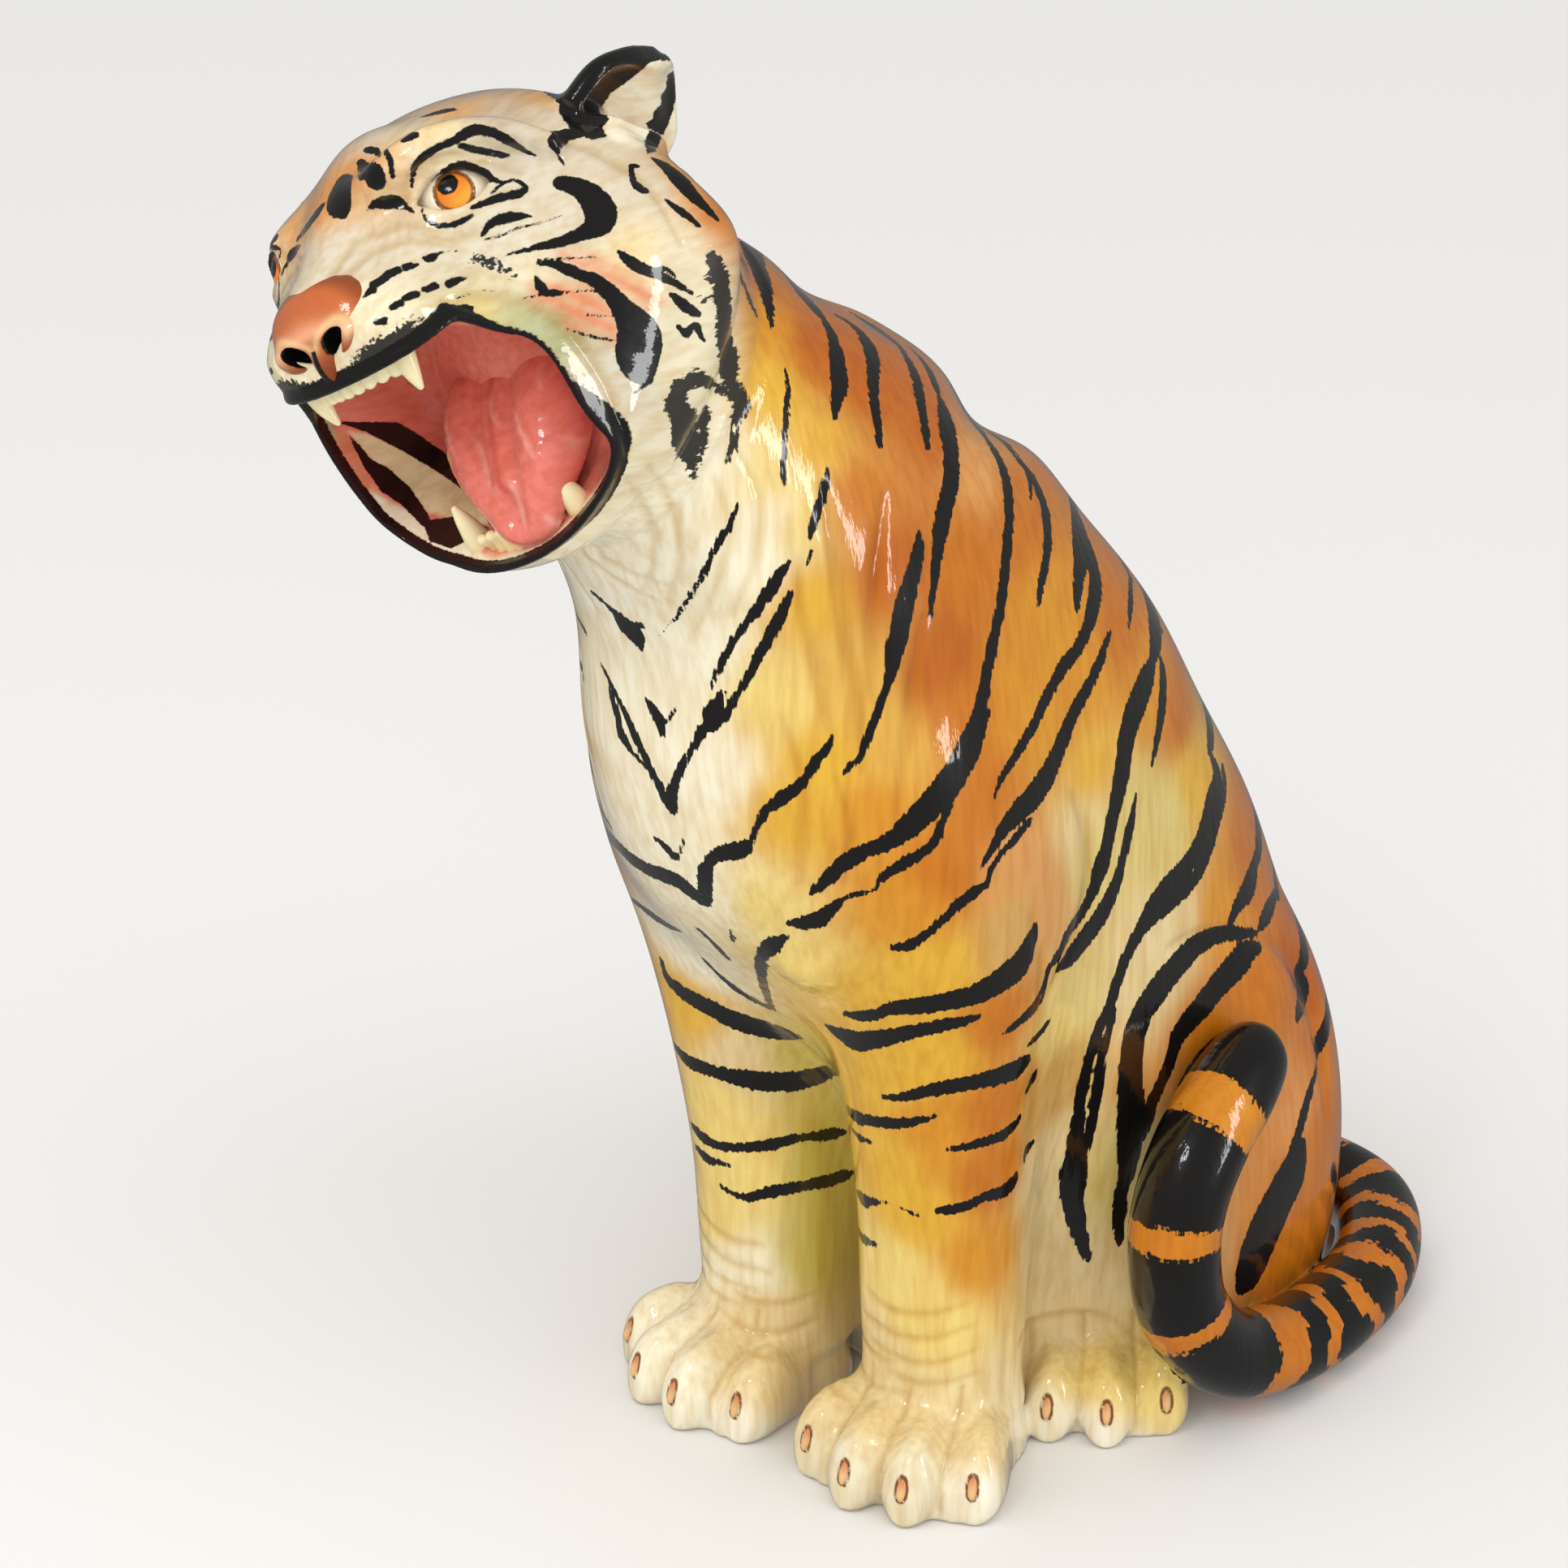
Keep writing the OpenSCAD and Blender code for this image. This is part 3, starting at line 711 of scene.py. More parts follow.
def settle(points, weight=1.0, ear_share=0.0, lip=0.0):
    """Draws the jaw in and up a little, shapes the upper lip and lowers the back of the crown."""
    x, y, z = points.T
    jaw = weight * ease(z, JAW_TOP, -70) * ease(y, 60, 0)
    crown = weight * ease(y, -4, 55) * ease(z, 10, 70) * (1 - 0.85 * ear_share)
    front = ease(y, -95, -120)
    lift = LIP_LIFT * weight * front * ease(z, 14, -10)
    corner = ease(np.abs(x), 18, 48) * ease(z, -110, -50) * ease(z, 40, 15)
    droop = LIP_DROOP * weight * lip * (1 - front) * corner
    rise = JAW_UP * jaw * (JAW_TOP - z) - CROWN_DROP * crown + lift - droop
    return np.stack([x * (1 - JAW_IN * jaw), y, z + rise], 1)


skull_value = head.at(base_face, head_points)
neck_value = head.at(neck, head_points)
mouth_value = head.at(mouth, head_points)
ear_value = head.at(ears, head_points)
past_neck = skull_value - neck_value
on_ear = (ear_value < skull_value) & (ear_value < 1.5)
ear_share = ease(skull_value, 3, 40)
head_shape = settle(head_points, np.clip((-past_neck - 2) / 16, 0, 1), ear_share, ease(mouth_value, 26, 3))
body_skin = Surface(body_points, body_quads, ORANGE)
head_skin = Surface(head_to_body(head_shape), head_quads, BONE)
skins = (body_skin, head_skin)

# Which form each point of the skin belongs to
body_values = np.stack([body.at(field, body_points) for field in forms.values()])
body_owner = body_values.argmin(0)
form_names = list(forms)
into_head = body_values[form_names.index("head")] - body_values[form_names.index("torso_shell")]
into_head[body_points[:, 2] < 500] = 99

# How far from the seam at the neck the body's skin is drawn to the head's
TUCK_REACH = 14.0


def tuck(depth):
    """Runs the body's skin a little way under the head's, so that the neck has one even surface."""
    head_tree = BVHTree.FromPolygons(head_skin.points.tolist(), head_quads.tolist())
    for k in np.flatnonzero((into_head > -TUCK_REACH) & (into_head < TUCK_REACH + 2)):
        place, way, _, gap = head_tree.find_nearest(body_skin.points[k])
        if place is not None and gap < TUCK_REACH:
            share = min(max((TUCK_REACH - into_head[k]) / 10, 0), 1)
            target = np.array(place) - np.array(way) * depth
            body_skin.points[k] += share * (target - body_skin.points[k])


tuck(depth=0.15)
# The skin's underside lies just above the bare base plate: half width, front, back, height
PLATE_HALF, PLATE_FRONT, PLATE_BACK, PLATE_CLEAR = 110, 35, 306, 1.2
x, y, z = body_skin.points.T
under = (z < PLATE_CLEAR / 2) & (np.abs(x) < PLATE_HALF) & (y > PLATE_FRONT) & (y < PLATE_BACK)
body_skin.points[under, 2] = PLATE_CLEAR
body_skin.smooth()
body_keep = (into_head[body_quads] > -7).any(1)
head_keep = (past_neck[head_quads] < 2).any(1)

every_quad = np.vstack([body_quads[body_keep], head_quads[head_keep] + len(body_points)])


def whole_tree():
    return BVHTree.FromPolygons(np.vstack([body_skin.points, head_skin.points]).tolist(), every_quad.tolist())


def sight(px, py):
    """Way from the camera through a pixel of the photograph."""
    right, up = px - FRAME_PX / 2, FRAME_PX / 2 - py
    return unit(RIGHT * (right / CAMERA_FOCAL_PX) + UP * (up / CAMERA_FOCAL_PX) - BACK)


skin_tree = whole_tree()


def look(px, py):
    """Place and outward way of the skin under a pixel of the photograph."""
    place, out, _, _ = skin_tree.ray_cast(EYE_POINT.tolist(), sight(px, py).tolist())
    if place is None:
        return None
    out = np.array(out)
    return np.array(place), out if out @ BACK > 0 else -out


# Least width of a stroke in pixels, and how much a slanting skin may widen it
STROKE_LEAST = 0.5
STROKE_STRETCH = 2.2


def traced(stroke):
    """A stroke drawn in pixels, as places, outward ways and half widths on the skin."""
    rows = flow(stroke, 5)
    steps = np.gradient(rows[:, :2], axis=0)
    across = unit(np.stack([-steps[:, 1], steps[:, 0]], 1) + 1e-9)
    out = []
    for (x, y, w), side in zip(rows, across):
        w = max(w, STROKE_LEAST)
        hit = look(x, y)
        if hit is None:
            continue
        plain = w / 2 * (EYE_POINT - hit[0]) @ BACK / CAMERA_FOCAL_PX
        reach = []
        for s in (-1, 1):
            edge = look(x + s * side[0] * w / 2, y + s * side[1] * w / 2)
            if edge is not None:
                reach.append(min(np.linalg.norm(edge[0] - hit[0]), STROKE_STRETCH * plain))
        out.append((hit[0], hit[1], np.mean(reach) if reach else plain))
    return tuple(np.array(column) for column in zip(*out)) if out else None


FLIP = np.array([-1, 1, 1])


def flipped(points, normals, where):
    """Points and normals of the other side of the head or of the body."""
    if where == "head":
        return head_to_body(body_to_head(points) * FLIP), (normals @ HEAD_POSE * FLIP) @ HEAD_POSE.T
    return points * FLIP, normals * FLIP


def mirrored(line, where):
    """The same stroke on the other side of the body or of the head, set back onto the skin."""
    places, outs = flipped(line[0], line[1], where)
    found = [skin_tree.find_nearest(p.tolist()) for p in places]
    return np.array([f[0] for f in found]), outs, line[2]


def mould(px, py, height, along, deep):
    """Raises or lowers the back where a line of sight grazes it, on both sides."""
    way = sight(px, py)
    p = body_skin.points - EYE_POINT
    place = body_skin.points[np.linalg.norm(p - (p @ way)[:, None] * way, axis=1).argmin()]
    for skin in skins:
        rise = np.zeros(len(skin.points))
        for flip in (1, -1):
            gap = skin.points * (flip, 1, 1) - place
            far = gap @ way
            near = (gap ** 2).sum(1) - far ** 2
            rise = np.maximum(rise, np.exp(-near / along ** 2 - (far / deep) ** 2))
        skin.points += height * rise[:, None] * skin.normals


# Shoulder blades with a dip on either side, and the fuller back: pixel, rise, reach along the back and across
BACK_MOULDS = [
    (1002, 343, -7, 24, 60), (1222, 496, -12, 25, 70), (1404, 742, 10, 95, 90), (1524, 956, 4.5, 70, 80),
]
for row in BACK_MOULDS:
    mould(*row)

# Nape: flattened to the line it has in the photograph, on both sides, with a soft edge
NAPE_LINE = ((820, 190), (968, 322))
NAPE_MIDDLE = (862, 262)
NAPE_SOFT = 4.0
NAPE_INNER = 60.0
NAPE_OUTER = 105.0
nape_out = np.cross(sight(*NAPE_LINE[0]), sight(*NAPE_LINE[1]))
nape_out = unit(nape_out if nape_out @ UP > 0 else -nape_out)
nape_mid = look(*NAPE_MIDDLE)[0]
for skin in skins:
    for where in (None, "head"):
        points = skin.points if where is None else flipped(skin.points, skin.normals, "head")[0]
        over = (points - EYE_POINT) @ nape_out
        over = NAPE_SOFT * np.log1p(np.exp(np.clip(over / NAPE_SOFT, -30, 30)))
        share = ease(np.linalg.norm(points - nape_mid, axis=1), NAPE_OUTER, NAPE_INNER)
        if skin is head_skin:
            share = share * (1 - ease(ear_value, 10, 2))
        points = points - (over * share)[:, None] * nape_out
        skin.points = points if where is None else flipped(points, skin.normals, "head")[0]
tuck(depth=0.3)
for skin in skins:
    skin.smooth()
skin_tree = whole_tree()

# Folds and furrows in the clay: depth in millimetres, then a line drawn in the photograph's pixels:
# across, down, width
HEAD_FOLDS = [
    (0.9, [(412, 336, 8), (440, 298, 10), (500, 277, 10), (560, 290, 6)]),
    (0.9, [(420, 350, 8), (450, 316, 9), (505, 296, 9), (572, 306, 5)]),
    (1.6, [(498, 256, 6), (506, 220, 10), (545, 195, 12), (600, 198, 8), (640, 212, 5)]),
    (1.2, [(522, 288, 6), (560, 296, 10), (602, 280, 6)]),
    (1.6, [(548, 372, 8), (620, 366, 14), (690, 396, 16), (745, 470, 14), (776, 560, 8)]),
    (1.4, [(772, 590, 6), (800, 640, 10), (804, 690, 8), (790, 730, 5)]),
    (1.2, [(800, 575, 6), (830, 630, 10), (836, 690, 8), (822, 740, 5)]),
    (1.3, [(690, 170, 8), (740, 190, 12), (800, 230, 10), (840, 300, 6)]),
]
BODY_FOLDS = [
    (2.6, [(1012, 600, 8), (1030, 700, 16), (1042, 790, 18), (1058, 870, 16), (1064, 950, 8)]),
    (2.0, [(1090, 610, 8), (1078, 720, 14), (1072, 800, 14), (1080, 880, 8)]),
    (1.6, [(972, 640, 8), (984, 740, 14), (1004, 830, 14), (1024, 910, 8)]),
    (1.6, [(1138, 760, 8), (1122, 860, 14), (1112, 960, 12), (1100, 1030, 6)]),
    (1.4, [(960, 880, 6), (984, 950, 12), (990, 1030, 10), (984, 1090, 6)]),
    (1.4, [(1030, 960, 6), (1046, 1020, 10), (1040, 1090, 8)]),
    (2.0, [(1322, 980, 8), (1342, 1030, 14), (1340, 1100, 14), (1318, 1170, 10), (1290, 1230, 6)]),
    (1.4, [(1270, 1130, 6), (1284, 1200, 12), (1278, 1300, 12), (1268, 1420, 8)]),
    (6.0, [
        (1440, 1168, 6), (1480, 1150, 12), (1522, 1148, 16), (1560, 1162, 20), (1596, 1195, 22),
        (1618, 1240, 20), (1630, 1300, 14), (1634, 1370, 6),
    ]),
    (1.4, [(912, 560, 6), (938, 620, 12), (930, 690, 10), (902, 760, 6)]),
    (1.2, [(880, 590, 6), (900, 650, 10), (884, 720, 8), (850, 790, 5)]),
]
LEG_FOLDS = [
    (1.3, [(1068, 1592, 4), (1100, 1616, 8), (1150, 1620, 8), (1196, 1606, 4)]),
    (1.4, [(1066, 1622, 4), (1104, 1646, 9), (1152, 1650, 9), (1200, 1634, 4)]),
    (1.3, [(1076, 1655, 4), (1112, 1676, 8), (1156, 1680, 8), (1204, 1664, 4)]),
    (1.1, [(1092, 1688, 4), (1126, 1704, 8), (1166, 1704, 7), (1204, 1692, 4)]),
    (1.2, [(892, 1580, 4), (926, 1604, 8), (972, 1606, 7), (1004, 1594, 4)]),
    (1.2, [(884, 1612, 4), (922, 1638, 8), (970, 1640, 8), (1006, 1626, 4)]),
    (1.1, [(892, 1650, 4), (930, 1668, 8), (976, 1668, 7), (1006, 1656, 4)]),
    (1.6, [
        (1258, 1652, 4), (1272, 1630, 7), (1300, 1621, 8), (1345, 1619, 8), (1385, 1634, 7),
        (1428, 1668, 4),
    ]),
]

# Two places of a stroke that lie further apart than this, in millimetres, aren't joined
LONGEST_STEP = 30.0


def beside(line, skin, margin):
    """Points of a skin near a stroke, and for each step of the stroke their distance from its middle line,
    its half width next to them, and whether they face the same way."""
    places, outs, halves = line
    low, high = places.min(0) - margin, places.max(0) + margin
    pick = np.flatnonzero(((skin.points > low) & (skin.points < high)).all(1))
    p, n = skin.points[pick], skin.normals[pick]
    steps = []
    for k in range(len(places) - 1 if len(pick) else 0):
        d = places[k + 1] - places[k]
        if d @ d > LONGEST_STEP ** 2:
            continue
        t = np.clip((p - places[k]) @ d / max(d @ d, 1e-9), 0, 1)
        gap = np.linalg.norm(p - places[k] - t[:, None] * d, axis=1)
        steps.append((gap, halves[k] + t * (halves[k + 1] - halves[k]), n @ (outs[k] + outs[k + 1]) > 0.2))
    return pick, steps


def carve(line, depth):
    """Presses a furrow into the skin and marks it for painted shade, a darker ground in the furrow."""
    widest = line[2].max()
    for skin in skins:
        pick, steps = beside(line, skin, 3 * widest + 2)
        best = np.zeros(len(pick))
        for gap, half, faces in steps:
            best = np.maximum(best, half / widest * np.exp(-(gap / (half + 0.6)) ** 2) * faces)
        skin.points[pick] -= (depth * best)[:, None] * skin.normals[pick]
        # Marks the furrow for painted shade
        skin.furrow[pick] = np.maximum(skin.furrow[pick], best)


def swell(px, py, radius, height):
    """Raises a soft lump."""
    place = look(px, py)[0]
    for skin in skins:
        rise = height * np.exp(-((skin.points - place) ** 2).sum(1) / radius ** 2)
        skin.points += rise[:, None] * skin.normals


def lay(layer, line):
    """Adds a stroke to a layer: each point keeps its distance from the nearest stroke's edge."""
    if len(line[0]) == 1:
        line = [np.repeat(column, 2, 0) for column in line]
    for skin in skins:
        pick, steps = beside(line, skin, line[2].max() + REACH)
        for gap, half, faces in steps:
            skin.mark(layer, np.where(faces, gap - half, REACH), pick)


# Brush strokes, drawn in the photograph's pixels: across, down, width
FACE = {
    "brow": [
        (507, 230, 3), (510, 208, 6), (518, 198, 8), (530, 188, 8), (545, 179, 8), (560, 173, 9),
        (572, 166, 11), (584, 160, 12), (598, 161, 11), (612, 166, 10), (625, 173, 9), (640, 182, 6),
        (660, 192, 2),
    ],
    "brow_low": [(568, 180, 7), (580, 183, 7), (600, 187, 7), (618, 191, 6), (628, 191, 3)],
    "brow_dash": [(497, 173, 4), (508, 167, 7), (514, 167, 4)],
    "crown_line": [(520, 144, 2), (538, 139, 5), (552, 136, 5), (562, 135, 2)],
    "liner": [
        (520, 262, 3), (521, 248, 4), (527, 234, 5), (538, 220, 8), (552, 211, 10), (570, 208, 10),
        (588, 212, 9), (604, 219, 7), (618, 225, 3),
    ],
    "corner": [(582, 256, 5), (600, 249, 8), (620, 243, 9), (640, 238, 9), (648, 233, 6)],
    "corner_top": [(646, 228, 5), (634, 222, 4), (620, 226, 4), (606, 238, 4)],
    "lid_low": [(520, 262, 3), (526, 271, 4), (540, 278, 5), (556, 277, 6), (570, 272, 7), (583, 265, 3)],
    "inner_leaf": [
        (453, 258, 3), (462, 252, 9), (475, 249, 14), (488, 249, 14), (500, 255, 7), (511, 262, 2),
    ],
    "outer_leaf": [
        (594, 290, 4), (602, 278, 8), (614, 271, 11), (628, 268, 11), (642, 266, 8), (654, 266, 3),
    ],
    "outer_leaf_low": [(598, 295, 2), (618, 290, 3), (638, 281, 3), (660, 276, 2), (692, 266, 1.5)],
    "bend": [
        (691, 226, 14), (702, 228, 18), (716, 233, 21), (730, 244, 28), (739, 258, 33), (739, 270, 32),
        (731, 281, 22), (714, 289, 14), (690, 298, 11), (668, 303, 8), (645, 309, 5), (622, 314, 2),
    ],
    "under_ear": [
        (712, 164, 10), (697, 166, 12), (684, 172, 13), (685, 182, 7), (689, 192, 4), (696, 205, 2),
    ],
    "hook": [(787, 205, 3), (778, 205, 6), (779, 214, 5), (781, 224, 6), (788, 231, 8), (797, 235, 4)],
    "dash": [(820, 246, 3), (835, 258, 7), (848, 267, 7), (862, 279, 3)],
    "crescent": [
        (662, 325, 3), (680, 325, 8), (700, 332, 12), (718, 340, 12), (735, 347, 15), (755, 365, 19),
        (768, 382, 24), (780, 400, 34), (788, 420, 46), (788, 438, 44), (793, 456, 26), (802, 470, 5),
    ],
    "crescent_tail": [(800, 470, 4), (790, 478, 3), (778, 486, 1.5)],
    "ear_side": [
        (762, 310, 4), (776, 322, 12), (792, 331, 12), (808, 338, 10), (826, 346, 8), (842, 355, 6),
        (853, 361, 3),
    ],
    "ear_side_fork": [(806, 334, 6), (820, 331, 5), (833, 341, 3)],
    "ear_side_low": [(826, 362, 4), (838, 372, 10), (850, 381, 11), (862, 388, 5)],
    "fork": [(835, 402, 4), (846, 411, 9), (851, 404, 6), (858, 402, 8), (864, 414, 5), (868, 420, 3)],
    "cheek_mark": [(661, 343, 6), (666, 353, 11), (672, 360, 8), (686, 361, 7), (695, 360, 2)],
    "cheek_line_1": [(640, 369, 1.5), (666, 364, 2.5), (700, 360, 2), (748, 358, 2)],
    "cheek_line_2": [(698, 405, 2), (730, 415, 3), (768, 421, 2)],
    "cheek_line_3": [(722, 388, 1.5), (758, 390, 2)],
    "cheek_line_4": [(660, 320, 1.5), (700, 318, 2), (735, 317, 1.5)],
    "dot_1": [(448, 365, 3), (459, 357, 8)],
    "dot_2": [(462, 350, 8), (472, 344, 8)],
    "dot_3": [(478, 338, 8), (490, 333, 8)],
    "dot_4": [(500, 329, 8), (514, 326, 4)],
    "dot_5": [(522, 318, 3), (530, 318, 8), (545, 311, 2), (562, 309, 1)],
    "dot_6": [(484, 378, 7), (494, 373, 8)],
    "dot_7": [(500, 367, 7), (512, 362, 8)],
    "dot_8": [(524, 357, 7), (536, 352, 8)],
    "dot_9": [(552, 351, 8), (562, 346, 8), (578, 341, 1)],
    "dot_10": [(464, 397, 7), (474, 395, 7)],
    "dot_11": [(568, 381, 8), (576, 381, 9), (583, 379, 3)],
    "hair": [(560, 369, 2.5), (582, 361, 2), (610, 358, 1)],
}
FACE_ONCE = {
    "bridge_1": [(444, 199, 8), (452, 210, 14), (460, 217, 20), (464, 228, 10)],
    "bridge_2": [(420, 222, 8), (418, 236, 18), (420, 252, 20), (424, 266, 8)],
    "bridge_rust": [(474, 184, 4), (480, 196, 6), (484, 218, 5)],
    "bridge_rust_2": [(452, 184, 5), (462, 186, 7), (468, 192, 4)],
    "bridge_3": [(397, 254, 4), (388, 266, 8), (376, 282, 6), (367, 294, 3)],
    "nape_1": [(805, 196, 3), (822, 207, 9), (838, 222, 13), (852, 238, 12), (868, 254, 8), (884, 270, 4)],
    "nape_2": [
        (896, 255, 5), (908, 270, 12), (920, 290, 14), (928, 312, 13), (936, 335, 12), (943, 360, 10),
        (948, 385, 7), (950, 402, 3),
    ],
}
CHARCOAL = {
    "ruff": [
        (876, 316, 10), (884, 332, 18), (890, 355, 19), (892, 380, 17), (893, 402, 17), (894, 425, 20),
        (897, 450, 20), (903, 475, 16), (912, 498, 19), (906, 516, 12),
    ],
    "ruff_tail": [(906, 535, 9), (902, 552, 7), (896, 568, 3)],
    "ruff_wisp_1": [(868, 342, 4), (884, 352, 8)],
    "ruff_wisp_2": [(866, 368, 4), (886, 364, 7)],
    "ruff_edge": [(912, 340, 5), (921, 362, 6), (932, 388, 3)],
    "patch_left": [
        (838, 476, 18), (834, 498, 24), (842, 520, 25), (848, 545, 22), (852, 566, 14), (856, 588, 6),
    ],
    "patch_top": [(842, 474, 14), (858, 468, 20), (876, 473, 12), (896, 482, 10)],
    "patch_right": [(866, 512, 12), (866, 540, 11), (864, 566, 5)],
    "cheek_leaf": [(574, 322, 2), (590, 321, 8), (606, 325, 10), (620, 331, 8), (633, 339, 2)],
    "lip_feather_1": [
        (424, 470, 8), (440, 452, 16), (458, 436, 22), (480, 426, 26), (505, 414, 22), (532, 405, 16),
    ],
    "lip_feather_2": [(486, 420, 14), (505, 400, 10), (522, 392, 4)],
    "lip_feather_3": [(520, 408, 10), (545, 396, 8), (566, 390, 3)],
}
CHEST = {
    "throat_1": [
        (731, 731, 4), (748, 746, 4), (760, 758, 8), (771, 771, 15), (782, 781, 17), (788, 796, 7),
    ],
    "throat_2": [(770, 771, 8), (790, 771, 6)],
    "throat_3": [
        (908, 622, 3), (902, 640, 7), (890, 662, 8), (877, 685, 7), (865, 710, 7), (850, 735, 6),
        (836, 757, 5), (820, 775, 4), (812, 785, 2),
    ],
    "small_v_left": [(797, 862, 5), (805, 875, 10), (813, 890, 12), (816, 906, 5)],
    "small_v_right": [(818, 893, 5), (826, 882, 5), (833, 873, 3)],
    "wing_1": [
        (742, 820, 3), (752, 842, 4), (764, 865, 5), (775, 890, 7), (786, 915, 8), (800, 945, 8),
        (812, 968, 8), (820, 985, 9), (827, 998, 6),
    ],
    "wing_2": [(752, 850, 3), (760, 880, 7), (766, 905, 8), (778, 925, 5), (796, 946, 3)],
    "wing_3": [
        (975, 690, 4), (962, 706, 13), (948, 728, 15), (932, 752, 13), (915, 775, 9), (898, 800, 10),
        (886, 825, 8), (876, 850, 4),
    ],
    "wing_4": [
        (974, 732, 8), (962, 756, 14), (950, 780, 14), (937, 805, 13), (925, 828, 11), (912, 850, 9),
        (895, 878, 12), (880, 892, 16), (866, 899, 14), (856, 918, 9), (843, 940, 10), (834, 958, 10),
        (828, 974, 13), (826, 988, 14), (828, 999, 7),
    ],
    "wing_5": [(892, 852, 6), (883, 868, 18), (876, 884, 22)],
    "edge_1": [(705, 745, 3), (714, 765, 4), (723, 781, 3)],
    "edge_2": [(706, 772, 3), (712, 800, 4), (719, 836, 3)],
    "edge_3": [(716, 930, 3), (722, 950, 5), (732, 975, 5), (742, 1000, 5), (753, 1019, 3)],
    "arc_left": [
        (728, 1000, 3), (740, 1018, 7), (755, 1035, 11), (772, 1053, 13), (792, 1068, 12), (812, 1077, 12),
        (835, 1086, 14), (850, 1098, 13), (862, 1108, 10), (873, 1114, 5),
    ],
    "tick": [(808, 1034, 4), (820, 1043, 6), (832, 1056, 7), (838, 1050, 4), (844, 1031, 3)],
    "arc_right": [
        (1027, 904, 4), (1020, 920, 9), (1005, 938, 12), (993, 958, 12), (980, 972, 15), (962, 985, 15),
        (945, 998, 12), (935, 1015, 9), (925, 1036, 11), (912, 1047, 20), (892, 1051, 17), (877, 1058, 15),
        (869, 1075, 15), (869, 1095, 13), (871, 1112, 7),
    ],
    "low_1": [(775, 1105, 3), (800, 1125, 8), (820, 1138, 8), (838, 1147, 3)],
    "low_2": [(860, 1145, 4), (875, 1158, 5), (893, 1177, 5), (899, 1183, 2)],
    "low_3": [(900, 1145, 2), (904, 1159, 4)],
    "low_4": [
        (865, 1180, 3), (885, 1200, 5), (905, 1217, 7), (925, 1230, 7), (945, 1240, 6), (954, 1244, 3),
    ],
    "low_5": [(951, 1241, 5), (943, 1222, 6), (938, 1200, 7), (938, 1185, 10)],
    "low_6": [(934, 1186, 8), (942, 1174, 18), (952, 1164, 20), (964, 1156, 8), (974, 1152, 3)],
    "elbow": [
        (972, 1138, 5), (990, 1138, 15), (1008, 1133, 19), (1022, 1122, 15), (1035, 1110, 8),
        (1050, 1103, 6), (1075, 1097, 5), (1085, 1085, 7), (1095, 1075, 12), (1115, 1063, 14),
        (1135, 1052, 12), (1150, 1038, 12), (1160, 1015, 10), (1170, 994, 6),
    ],
}
